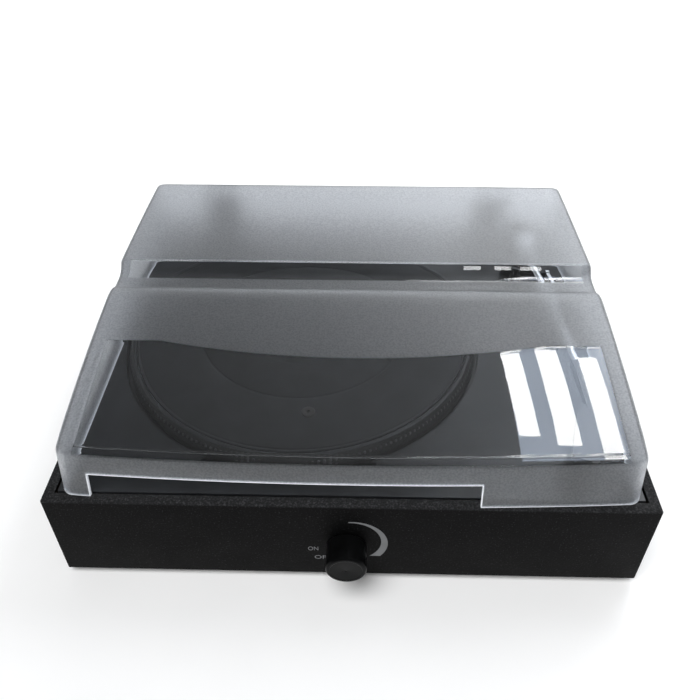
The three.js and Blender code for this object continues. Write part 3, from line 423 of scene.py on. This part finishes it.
def make_platter():
    low, high = (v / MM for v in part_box("platter"))
    centre = ((low.x + high.x) / 2, (low.y + high.y) / 2, RIM)
    radius = (high.x - low.x) / 2
    lip = high.z - RIM
    mat_low, mat_high = (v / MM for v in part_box("platter_mat"))
    mat_radius = (mat_high.x - mat_low.x) / 2
    seat = mat_low.z - RIM - 0.3
    lip_inner, lip_outer = mat_radius + 0.5, mat_radius + 3.9
    rim_low = low.z - RIM

    bevel_top, bevel_low = (lip_outer, lip), (radius, 1.5)
    outline = [
        (3.9, -2), (14, -2), (14, 5.2), (84, 5.2), (84, rim_low), (87, rim_low), (87, 5.2), (radius - 4, 5.2),
        (radius - 4, -4), (radius, -4), bevel_low, bevel_top, (lip_inner, lip), (lip_inner, seat), (3.9, seat),
    ]
    smooth_outline = rounded(outline, 0.5, 3)
    vertices, faces, parts = turned(smooth_outline, centre, 240)
    per_corner = 4
    first_bevel, last_bevel = 9 * per_corner, 11 * per_corner + 1
    last_lip = 13 * per_corner
    indices = [1 if first_bevel <= part < last_bevel else 3 if last_bevel <= part < last_lip else 0 for part in parts]
    anodised = moulded("rim_anodised", (0.003, 0.0033, 0.0037), (0.006, 0.0065, 0.007), 0.4, 0.3, 0.01)
    lip_paint = moulded("lip_paint", (0.022, 0.024, 0.026), (0.034, 0.036, 0.039), 0.42, 0.3, 0.01)
    dots = moulded("rim_dot", (0.05, 0.053, 0.056), (0.09, 0.093, 0.097), 0.3, 0.3, 0.01)

    # Strobe studs: shallow domes standing on the sloping rim.
    slope = Vector((bevel_low[0] - bevel_top[0], bevel_low[1] - bevel_top[1])).normalized()
    outward = Vector((-slope.y, slope.x))
    if outward.x < 0:
        outward = -outward
    dot_count, dot_radius, dot_height, sides = 216, 1.15, 0.35, 8
    middle = (Vector(bevel_top) * 0.52 + Vector(bevel_low) * 0.48)
    for d in range(dot_count):
        a = 2 * math.pi * d / dot_count
        radial, tangent = Vector((math.cos(a), math.sin(a), 0)), Vector((-math.sin(a), math.cos(a), 0))
        origin = Vector(centre) + radial * middle.x + Vector((0, 0, middle.y))
        down = radial * slope.x + Vector((0, 0, slope.y))
        out = radial * outward.x + Vector((0, 0, outward.y))
        first = len(vertices)
        for ring, lift in ((1.0, -0.1), (1.0, 0.5), (0.6, 1.0)):
            for s in range(sides):
                b = 2 * math.pi * s / sides
                vertices.append(origin + (tangent * math.cos(b) + down * math.sin(b)) * dot_radius * ring
                                + out * dot_height * lift)
        for ring in range(2):
            for s in range(sides):
                t = (s + 1) % sides
                a0 = first + ring * sides
                faces.append((a0 + s, a0 + t, a0 + sides + t, a0 + sides + s))
                indices.append(2)
        faces.append(tuple(first + 2 * sides + s for s in range(sides)))
        indices.append(2)
        faces.append(tuple(first + s for s in reversed(range(sides))))
        indices.append(2)
    piece = build("platter_turned", vertices, faces, [MATERIALS["platter_metal"], anodised, dots, lip_paint],
                  "platter", indices)
    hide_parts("platter")

    base, top = mat_low.z - RIM, mat_high.z - RIM
    ring = 92.0
    mat = [(5, base), (mat_radius, base), (mat_radius, top), (mat_radius - 1.6, top), (mat_radius - 2.0, top - 0.35),
           (mat_radius - 3.2, top - 0.35), (mat_radius - 3.6, top - 0.1), (ring + 1.1, top - 0.1),
           (ring + 0.8, top - 0.5), (ring - 0.8, top - 0.5), (ring - 1.1, top - 0.1), (52, top - 0.1),
           (51, top - 0.4), (8, top - 0.4), (5, top - 0.4)]
    vertices, faces, _ = turned(rounded(mat, 0.25, 2), centre, 240)
    rubber = build("mat_moulded", vertices, faces, [MATERIALS["mat_rubber"]], "platter")
    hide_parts("platter_mat")


make_platter()


# ------------------------------------------------------------------ control knob and its print

def make_knob():
    low, high = (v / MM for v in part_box("control_knob"))
    centre = ((low.x + high.x) / 2, (low.z + high.z) / 2)
    radius = (high.x - low.x) / 2
    reach = FRONT - low.y
    outline = rounded([(3.3, 17.5), (3.3, 6), (9, 6), (9, 1), (radius - 0.2, 1), (radius, reach - 1.4),
                       (radius - 1.2, reach), (radius - 3.0, reach), (radius - 3.3, reach - 0.25), (0.4, reach - 0.3),
                       (0.4, 17.6)], 0.45, 4)
    vertices, faces, _ = turned(outline, (0, 0, 0), 120)
    placed = [(centre[0] + x, FRONT - z, centre[1] + y) for x, y, z in vertices]
    piece = build("knob_turned", placed, faces, [MATERIALS["knob_plastic"]], "volume_knob")
    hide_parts("control_knob")


def make_print():
    """The growing crescent beside the knob, and the words at its off end."""
    ink = moulded("print_grey", (0.14, 0.145, 0.15), (0.2, 0.205, 0.21), 0.55, 0.5, 0.01)
    thickness = 0.08
    outer_centre, outer_radius, inner_centre, inner_radius = (2.2, -44.5), 26.9, (0.4, -42.5), 23.7
    end_height = -60.8
    outer_end = math.asin((end_height - outer_centre[1]) / outer_radius)
    inner_end = math.asin((end_height - inner_centre[1]) / inner_radius)
    outer_start, inner_start = math.radians(96), math.radians(92.5)
    steps = 48
    vertices, faces = [], []
    for i in range(steps + 1):
        t = i / steps
        for centre, radius, start, end in ((outer_centre, outer_radius, outer_start, outer_end),
                                           (inner_centre, inner_radius, inner_start, inner_end)):
            a = start + (end - start) * t
            for out in (0.02, thickness):
                vertices.append((centre[0] + radius * math.cos(a), FRONT - out, RIM + centre[1] + radius * math.sin(a)))
    for i in range(steps):
        a, b = i * 4, (i + 1) * 4
        faces += [(a + 1, b + 1, b + 3, a + 3), (a, a + 2, b + 2, b), (a, b, b + 1, a + 1), (a + 2, a + 3, b + 3, b + 2)]
    last = steps * 4
    faces += [(0, 1, 3, 2), (last, last + 2, last + 3, last + 1)]
    build("print_crescent", vertices, faces, [ink], "case", smooth=False)

    for name, word, left, right, low, high in (("print_on", "ON", -31.6, -23.8, -54.9, -50.0),
                                               ("print_off", "OFF", -26.9, -14.6, -66.2, -61.6)):
        font = bpy.data.curves.new(name, "FONT")
        font.body = word
        font.extrude = 0.5
        text = bpy.data.objects.new(name + "_text", font)
        bpy.context.scene.collection.objects.link(text)
        bpy.context.view_layer.update()
        mesh = bpy.data.meshes.new_from_object(text.evaluated_get(bpy.context.evaluated_depsgraph_get()))
        bpy.data.objects.remove(text)
        points = [v.co.copy() for v in mesh.vertices]
        x0, x1 = min(p.x for p in points), max(p.x for p in points)
        y0, y1 = min(p.y for p in points), max(p.y for p in points)
        placed = [(left + (p.x - x0) / (x1 - x0) * (right - left),
                   FRONT - (0.02 if p.z < 0 else thickness),
                   RIM + low + (p.y - y0) / (y1 - y0) * (high - low)) for p in points]
        faces = [tuple(polygon.vertices) for polygon in mesh.polygons]
        build(name, placed, faces, [ink], "case", smooth=False)


make_knob()
make_print()


# ------------------------------------------------------------------ dust cover

HALF = 211.5                        # half the cover's width
CORNER = 9.0                        # rounding of its upright corners
EDGE = 3.0                          # rounding of the top's side edges
WALL = 2.5
BOW = 6.8                           # the front bulges forward in plan
FRONT_BASE, REAR_BASE = 6.8, 364.0  # distances from the case front, at the bottom edge
EDGE_HEIGHT = 0.4                   # bottom edge above the rim
FRONT_TOP = (14.4, 36.9)
CREST = (179.3, 60.3)
STEP_FOOT, TIER_FOOT = (186.0, 54.5), (208.0, 55.0)
TIER_FRONT, REAR_TOP = (215.5, 63.8), (359.7, 61.0)
FRONT_FADE = FRONT_TOP[0] + (CREST[0] - FRONT_TOP[0]) / 8
REAR_FADE = REAR_TOP[0] - (REAR_TOP[0] - TIER_FRONT[0]) / 4
CUT_LEFT, CUT_RIGHT, CUT_HEIGHT = -189.0, 94.6, 20.0
GLOW_WIDTH = 0.6                    # band beside a cut edge that is given the painted glow
WINDOW_SIDE = 197.6
WINDOW_FRONT = 22.1
WINDOW_RECESS = 0.3
HINGE_X, HINGE_HALF = 143.5, 17.0
SOCKET_TOP = 52.0


def smoothstep(value, low, high):
    t = min(max((value - low) / (high - low), 0), 1)
    return t * t * (3 - 2 * t)


def bow_at(x, y):
    return BOW * (1 - (x / HALF) ** 2) * (1 - smoothstep(y, FRONT_TOP[0] + 10, CREST[0]))


def window_rear(x):
    """Distance from the case front of the window's rear edge: straight, with a bulge forward."""
    chord_half, sagitta, straight = 155.0, 15.8, 117.5
    if abs(x) >= chord_half:
        return straight
    radius = (chord_half ** 2 + sagitta ** 2) / (2 * sagitta)
    return straight - (math.sqrt(radius ** 2 - x ** 2) - (radius - sagitta))


def swell(y, start, end, rise):
    t = (y - start[0]) / (end[0] - start[0])
    return start[1] + (end[1] - start[1]) * t + 4 * rise * t * (1 - t)


def top_point(y):
    """A point on the front part's top: [y, z, front shift, rear shift, drop]."""
    front_shift = max(0.0, 1 - (y - FRONT_TOP[0]) / (FRONT_FADE - FRONT_TOP[0]))
    return Vector((y, swell(y, FRONT_TOP, CREST, 2.6), front_shift, 0, 1))


def tier_point(y):
    rear_shift = max(0.0, (y - REAR_FADE) / (REAR_TOP[0] - REAR_FADE))
    return Vector((y, swell(y, TIER_FRONT, REAR_TOP, 0.7), 0, rear_shift, 1))


def wall_point(z, base, top, front):
    t = (z - EDGE_HEIGHT) / (top[1] - EDGE_HEIGHT)
    return Vector((base + (top[0] - base) * t, z, 1 if front else 0, 0 if front else 1, t))


def curve(start, corner, end, steps):
    """Points of a rounded corner, its two ends included."""
    return [start * (1 - t) ** 2 + corner * (2 * t * (1 - t)) + end * t ** 2 for t in (i / steps for i in range(steps + 1))]


def line(start, end, steps):
    """Points between two others, the ends left out."""
    return [start.lerp(end, i / steps) for i in range(1, steps)]


def cover_rows(x):
    """The cover's outer profile at one distance across, front bottom to rear bottom, with the
    zone that each point starts: w wall, s strip, g glazed window, f frosted, t clear trough."""
    plain = Vector((*STEP_FOOT, 0, 0, 1)), Vector((*TIER_FOOT, 0, 0, 1))
    rows = [(wall_point(z, FRONT_BASE, FRONT_TOP, True), "w")
            for z in (EDGE_HEIGHT, EDGE_HEIGHT + GLOW_WIDTH, 6, 10, 14, 18, CUT_HEIGHT, CUT_HEIGHT + GLOW_WIDTH, 25, 28, 31)]
    corner = Vector((*FRONT_TOP, 1, 0, 1))
    round_start = wall_point(34.0, FRONT_BASE, FRONT_TOP, True)
    rows += [(p, "w" if i < 4 else "s") for i, p in enumerate(curve(round_start, corner, top_point(17.4), 7))]
    rows += [(top_point(y), "s") for y in (19.0, 21.0)]

    inside = abs(x) <= WINDOW_SIDE
    depth = WINDOW_RECESS if inside else 0.0

    def sunk(y, share=1.0):
        p = top_point(y)
        p[1] -= depth * share
        return p

    rows += [(top_point(WINDOW_FRONT - 0.35), "s"), (sunk(WINDOW_FRONT, 0.5), "g")]
    rear_edge = window_rear(x)
    for _ in range(20):
        rear_edge = window_rear(x) + bow_at(x, rear_edge)
    near, far = WINDOW_FRONT + 0.35, rear_edge - 0.45
    rows.append((sunk(near), "g"))
    rows += [(sunk(near + (far - near) * s), "g") for s in (0.012, *(i / 18 for i in range(1, 18)), 0.985, 1.0)]
    rows += [(sunk(rear_edge, 0.5), "g"), (top_point(rear_edge + 0.45), "f"), (top_point(rear_edge + 1.3), "f")]
    crest_start = CREST[0] - 14.0
    rows += [(top_point(rear_edge + 1.3 + (crest_start - rear_edge - 1.3) * i / 12), "f") for i in range(1, 12)]

    crest = Vector((*CREST, 0, 0, 1))
    step, foot = plain
    tier = Vector((*TIER_FRONT, 0, 0, 1))
    rows += [(p, "f") for p in curve(top_point(crest_start), crest, crest.lerp(step, 0.62), 8)]
    rows += [(p, "f") for p in curve(crest.lerp(step, 0.66), step, step.lerp(foot, 0.12), 5)]
    rows += [(p, "f") for p in line(step.lerp(foot, 0.12), step.lerp(foot, 0.64), 4)]
    rows += [(p, "t") for p in curve(step.lerp(foot, 0.64), foot, foot.lerp(tier, 0.5), 12)]
    rows += [(p, "t") for p in line(foot.lerp(tier, 0.5), foot.lerp(tier, 0.8), 3)]
    rows += [(p, "t" if i < 4 else "f") for i, p in enumerate(curve(foot.lerp(tier, 0.8), tier, tier_point(217.5), 7))]
    rows += [(p, "f") for p in line(Vector((217.5, 0, 0, 0, 0)), Vector((357.8, 0, 0, 0, 0)), 22)]
    rows = [(tier_point(p[0]) if p[1] == 0 else p, zone) for p, zone in rows]
    rear = Vector((*REAR_TOP, 0, 1, 1))
    rows += [(p, "f") for p in curve(tier_point(357.6), rear, wall_point(58.6, REAR_BASE, REAR_TOP, False), 5)]
    rows += [(wall_point(z, REAR_BASE, REAR_TOP, False), "f") for z in (50, 43, 36, 29, 22, 15, 8, 2, EDGE_HEIGHT)]
    return rows


def cover_stations():
    flat = HALF - CORNER
    edge = [flat + CORNER * math.cos(i * math.pi / 20) for i in range(10)]
    edge += [HALF - EDGE + EDGE * math.cos(i * math.pi / 10) for i in (1, 2, 3, 4)]
    near_window = [203.0, flat, 200.0, WINDOW_SIDE + 0.35, WINDOW_SIDE, WINDOW_SIDE - 0.3, WINDOW_SIDE - 1.1, 193.0]
    hinge = [HINGE_X + HINGE_HALF, HINGE_X - HINGE_HALF]
    cut = [CUT_LEFT - GLOW_WIDTH, CUT_LEFT, CUT_RIGHT, CUT_RIGHT + GLOW_WIDTH]
    half = edge + near_window + hinge
    fixed = sorted({-v for v in half} | set(half) | set(cut))
    stations = []
    for a, b in zip(fixed, fixed[1:]):
        count = max(1, round((b - a) / 7.5))
        stations += [a + (b - a) * i / count for i in range(count)]
    return stations + [fixed[-1]]


def rounded_depth(x, radius):
    """How far a quarter round of this radius has fallen away at a distance x from the middle."""
    past = max(0.0, abs(x) - (HALF - radius))
    return radius - math.sqrt(max(0.0, radius ** 2 - past ** 2))


def make_cover():
    stations = cover_stations()
    vertices, faces, indices = [], [], []
    frost, glass, painted_glow = 0, 1, 2
    columns = []
    zones = []
    for x in stations:
        inset, lowered = rounded_depth(x, CORNER), rounded_depth(x, EDGE)
        column = []
        rows = cover_rows(x)
        for (y, z, front_shift, rear_shift, drop), _ in rows:
            column.append(len(vertices))
            vertices.append((x, FRONT + y - bow_at(x, y) + inset * (front_shift - rear_shift), RIM + z - lowered * drop))
        columns.append(column)
        zones = [zone for _, zone in rows]
    count = len(zones)
    first_rear = next(i for i in range(count) if vertices[columns[len(columns) // 2][i]][1] > FRONT + 350)
    for s in range(len(stations) - 1):
        x = (stations[s] + stations[s + 1]) / 2
        for k in range(count - 1):
            a, b = columns[s][k], columns[s][k + 1]
            c, d = columns[s + 1][k], columns[s + 1][k + 1]
            middle = (vertices[a][2] + vertices[b][2]) / 2 - RIM
            if k < 11 and CUT_LEFT < x < CUT_RIGHT and middle < CUT_HEIGHT:
                continue
            if k > first_rear and abs(abs(x) - HINGE_X) < HINGE_HALF and middle < SOCKET_TOP - 2:
                continue
            faces.append((a, c, d, b))
            zone = zones[k]
            is_clear = (zone == "g" and abs(x) < WINDOW_SIDE) or (zone == "s" and abs(x) < WINDOW_SIDE) or (
                zone == "t" and abs(x) < 203)
            in_cut = CUT_LEFT - GLOW_WIDTH < x < CUT_RIGHT + GLOW_WIDTH
            # Faces along the bottom edge and beside the front cut-out take the painted glow material.
            is_painted_glow = k == 0 or (k < 7 and in_cut)
            indices.append(painted_glow if is_painted_glow else glass if is_clear else frost)

    # Side walls: a patch between the end profile and the bottom edge.
    front_top = next(i for i in range(count) if zones[i] == "s")
    rear_top = first_rear + next(i for i in range(count - first_rear)
                                 if vertices[columns[0][first_rear + i]][2] - RIM < REAR_TOP[1] - EDGE - 1.2)
    for column, outward in ((columns[0], False), (columns[-1], True)):
        x = vertices[column[0]][0]
        left = column[:front_top + 1]
        top = column[front_top:rear_top + 1]
        right = column[rear_top:][::-1]
        if len(right) != len(left):
            picked = [round(i * (len(right) - 1) / (len(left) - 1)) for i in range(len(left))]
        else:
            picked = list(range(len(left)))
        place = lambda i: Vector(vertices[i][1:])
        corners = place(left[0]), place(right[0]), place(left[-1]), place(right[-1])
        grid = []
        for u, top_index in enumerate(top):
            fu = u / (len(top) - 1)
            line_up = []
            for v in range(len(left)):
                if u == 0:
                    line_up.append(left[v])
                elif v == len(left) - 1:
                    line_up.append(top_index)
                elif u == len(top) - 1:
                    line_up.append(right[picked[v]])
                else:
                    low, high = place(left[0]), place(left[-1])
                    fv = (place(left[v]).y - low.y) / (high.y - low.y)
                    t_y = (place(top_index).x - corners[2].x) / (corners[3].x - corners[2].x)
                    bottom = corners[0].lerp(corners[1], t_y)
                    point = bottom.lerp(place(top_index), fv)
                    line_up.append(len(vertices))
                    vertices.append((x, point.x, point.y))
            grid.append(line_up)
        for u in range(len(grid) - 1):
            for v in range(len(left) - 1):
                quad = [grid[u][v], grid[u + 1][v], grid[u + 1][v + 1], grid[u][v + 1]]
                quad = list(dict.fromkeys(quad))
                if len(quad) < 3:
                    continue
                faces.append(tuple(quad) if outward else tuple(reversed(quad)))
                indices.append(painted_glow if v == 0 else frost)
    piece = build("cover_shell", vertices, faces, [MATERIALS["clear_plastic"], clear(), painted_glow_edge()],
                  "cover", indices)
    thick = piece.modifiers.new("thickness", "SOLIDIFY")
    thick.thickness = WALL * MM
    thick.offset = -1
    thick.use_even_offset = True
    thick.material_offset_rim = 2
    thick.use_rim = True
    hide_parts("dust_cover")

    # Hinge sockets: blocks on the rear wall, each open below for its hinge arm's tongue.
    for name, side in (("left", -1), ("right", 1)):
        tongue_low, tongue_high = (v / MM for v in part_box(f"hinge_arm_{name}"))
        x = side * HINGE_X
        outer = [(x - HINGE_HALF, REAR - 12), (x + HINGE_HALF, REAR - 12), (x + HINGE_HALF, REAR - 0.4), (x - HINGE_HALF, REAR - 0.4)]
        slot_half, slot_front = 14.8, REAR - 5.4
        inner = [(x - slot_half, slot_front), (x + slot_half, slot_front), (x + slot_half, slot_front + 2.8), (x - slot_half, slot_front + 2.8)]
        low, high, slot_top = RIM + 3.6, RIM + SOCKET_TOP, RIM + 40
        points = [(px, py, low) for px, py in outer] + [(px, py, high) for px, py in outer]
        points += [(px, py, low) for px, py in inner] + [(px, py, slot_top) for px, py in inner]
        faces = [(4, 5, 6, 7), (15, 14, 13, 12)]
        for i in range(4):
            j = (i + 1) % 4
            faces += [(i, j, j + 4, i + 4), (8 + j, 8 + i, 12 + i, 12 + j), (j, i, 8 + i, 8 + j)]
        block = build(f"cover_socket_{name}", points, faces, [MATERIALS["clear_plastic"]], "cover", smooth=False)
        bevel(block, 0.8, 3)
    return piece


cover = make_cover()


# ------------------------------------------------------------------ stage and lights

def surface(x, y):
    """A point on the cover's front top and its normal, x across and y back from the case front."""
    def at(px, py):
        nominal = py
        for _ in range(20):
            nominal = py + bow_at(px, nominal)
        return Vector((px, FRONT + py, RIM + swell(nominal, FRONT_TOP, CREST, 2.6)))
    step = 0.5
    normal = (at(x + step, y) - at(x - step, y)).cross(at(x, y + step) - at(x, y - step)).normalized()
    return at(x, y), normal


def mirrored(point, normal, height):
    """Where the camera's line of sight, reflected at a point, meets a level plane. In metres."""
    place = point * MM
    sight = (place - camera.matrix_world.translation).normalized()
    bounce = sight - 2 * sight.dot(normal) * normal
    return place + bounce * ((height - place.z) / bounce.z)


def glow(name, strength, tint=(1, 1, 1)):
    material = bpy.data.materials.new(name)
    material.use_nodes = True
    tree = material.node_tree
    tree.nodes.clear()
    emission = tree.nodes.new("ShaderNodeEmission")
    emission.inputs["Color"].default_value = (*tint, 1)
    emission.inputs["Strength"].default_value = strength
    output = tree.nodes.new("ShaderNodeOutputMaterial")
    tree.links.new(emission.outputs[0], output.inputs[0])
    return material


def panel(name, corners, strength, tint=(1, 1, 1)):
    """A glowing sheet, unseen by the camera itself."""
    mesh = bpy.data.meshes.new(name)
    mesh.from_pydata([tuple(c) for c in corners], [], [(0, 1, 2, 3)])
    mesh.materials.append(glow(name, strength, tint))
    sheet = bpy.data.objects.new(name, mesh)
    bpy.context.scene.collection.objects.link(sheet)
    sheet.visible_camera = False
    return sheet


def make_stage():
    size, ground = 6.0, 0.0
    mesh = bpy.data.meshes.new("floor")
    mesh.from_pydata([(-size, -size, ground), (size, -size, ground), (size, size, ground), (-size, size, ground)], [], [(0, 1, 2, 3)])
    paint = moulded("floor_paint", (0.955, 0.955, 0.955), (0.975, 0.975, 0.975), 0.85, 2, 0.01, 60, Specular_IOR_Level=0.1)
    mesh.materials.append(paint)
    floor = bpy.data.objects.new("floor", mesh)
    bpy.context.scene.collection.objects.link(floor)

    # Long narrow windows above and behind, seen as bright bars in the clear part of the cover.
    height = 1.7
    for i, (rear, front, half_width) in enumerate((
            ((124, 109), (129, 34), 7.4), ((152.5, 113), (157, 27), 8.6), ((184, 106), (187, 14), 7.4))):
        corners = []
        for x, y, w in ((*rear, -half_width), (*rear, half_width), (*front, half_width), (*front, -half_width)):
            corners.append(mirrored(*surface(x + w, y), height))
        panel(f"window_{i}", corners, 14.0)
    # A dimmer blue sheet above them, seen between the bars.
    corners = [mirrored(*surface(x, y), height + 0.1) for x, y in ((117, 128), (206, 128), (206, 12), (121, 12))]
    panel("window_sky", corners, 3.9, (0.74, 0.84, 1.0))

    # A wide pale sheet low behind the right side, which the frosted parts pick up.
    panel("side_light", ((0.3, 3.2, 1.7), (2.9, 2.2, 1.7), (2.9, 2.2, 3.3), (0.3, 3.2, 3.3)), 4.0, (0.96, 0.98, 1.0))

    # The same windows seen in the upright face behind the trough.
    face_normal = Vector((0, -(TIER_FRONT[1] - TIER_FOOT[1]), TIER_FRONT[0] - TIER_FOOT[0])).normalized()
    for i, (x0, x1) in enumerate(((98, 113), (125, 140), (148, 167))):
        low = Vector((0, FRONT + 197.0, RIM + 42.0))
        high = Vector((0, FRONT + 226.5, RIM + 76.8))
        corners = []
        for x, base in ((x0, high), (x1, high), (x1, low), (x0, low)):
            corners.append(mirrored(Vector((x, base.y, base.z)), face_normal, 1.5))
        panel(f"front_window_{i}", corners, 7.0)

    sun = bpy.data.lights.new("sun", "SUN")
    sun.energy = 2.5
    sun.angle = math.radians(40)
    lamp = bpy.data.objects.new("sun", sun)
    lamp.rotation_euler = (math.radians(20), math.radians(-14), 0)
    lamp.visible_glossy = False
    lamp.visible_transmission = False
    bpy.context.scene.collection.objects.link(lamp)

    # Sky: pale behind the object near the horizon, darker overhead and in front.
    world = bpy.data.worlds.new("sky")
    world.use_nodes = True
    bpy.context.scene.world = world
    tree = world.node_tree
    coords = tree.nodes.new("ShaderNodeTexCoord")
    split = tree.nodes.new("ShaderNodeSeparateXYZ")
    tree.links.new(coords.outputs["Generated"], split.inputs[0])

    def ranged(socket, low, high):
        node = tree.nodes.new("ShaderNodeMapRange")
        node.interpolation_type = "SMOOTHSTEP"
        node.inputs["From Min"].default_value = low
        node.inputs["From Max"].default_value = high
        tree.links.new(socket, node.inputs["Value"])
        return node.outputs["Result"]

    behind = ranged(split.outputs["Y"], -0.1, 0.5)
    lower = ranged(split.outputs["Z"], 0.64, 0.42)
    to_right = ranged(split.outputs["X"], -0.7, 0.25)
    product = tree.nodes.new("ShaderNodeMath")
    product.operation = "MULTIPLY"
    tree.links.new(behind, product.inputs[0])
    tree.links.new(lower, product.inputs[1])
    sided = tree.nodes.new("ShaderNodeMath")
    sided.operation = "MULTIPLY_ADD"
    sided.inputs[1].default_value = 0.6
    sided.inputs[2].default_value = 0.4
    tree.links.new(to_right, sided.inputs[0])
    weighted = tree.nodes.new("ShaderNodeMath")
    weighted.operation = "MULTIPLY_ADD"
    weighted.inputs[1].default_value = 0.3
    tree.links.new(behind, weighted.inputs[0])
    tree.links.new(product.outputs[0], weighted.inputs[2])
    strength = tree.nodes.new("ShaderNodeMapRange")
    strength.inputs["From Max"].default_value = 1.3
    strength.inputs["To Min"].default_value = 0.2
    strength.inputs["To Max"].default_value = 1.1
    tree.links.new(weighted.outputs[0], strength.inputs["Value"])
    total = tree.nodes.new("ShaderNodeMath")
    total.operation = "MULTIPLY"
    tree.links.new(strength.outputs["Result"], total.inputs[0])
    tree.links.new(sided.outputs[0], total.inputs[1])
    background = tree.nodes["Background"]
    background.inputs["Color"].default_value = (0.96, 0.98, 1.0, 1)
    tree.links.new(total.outputs[0], background.inputs["Strength"])
    bpy.context.scene.view_settings.view_transform = "Standard"


make_stage()
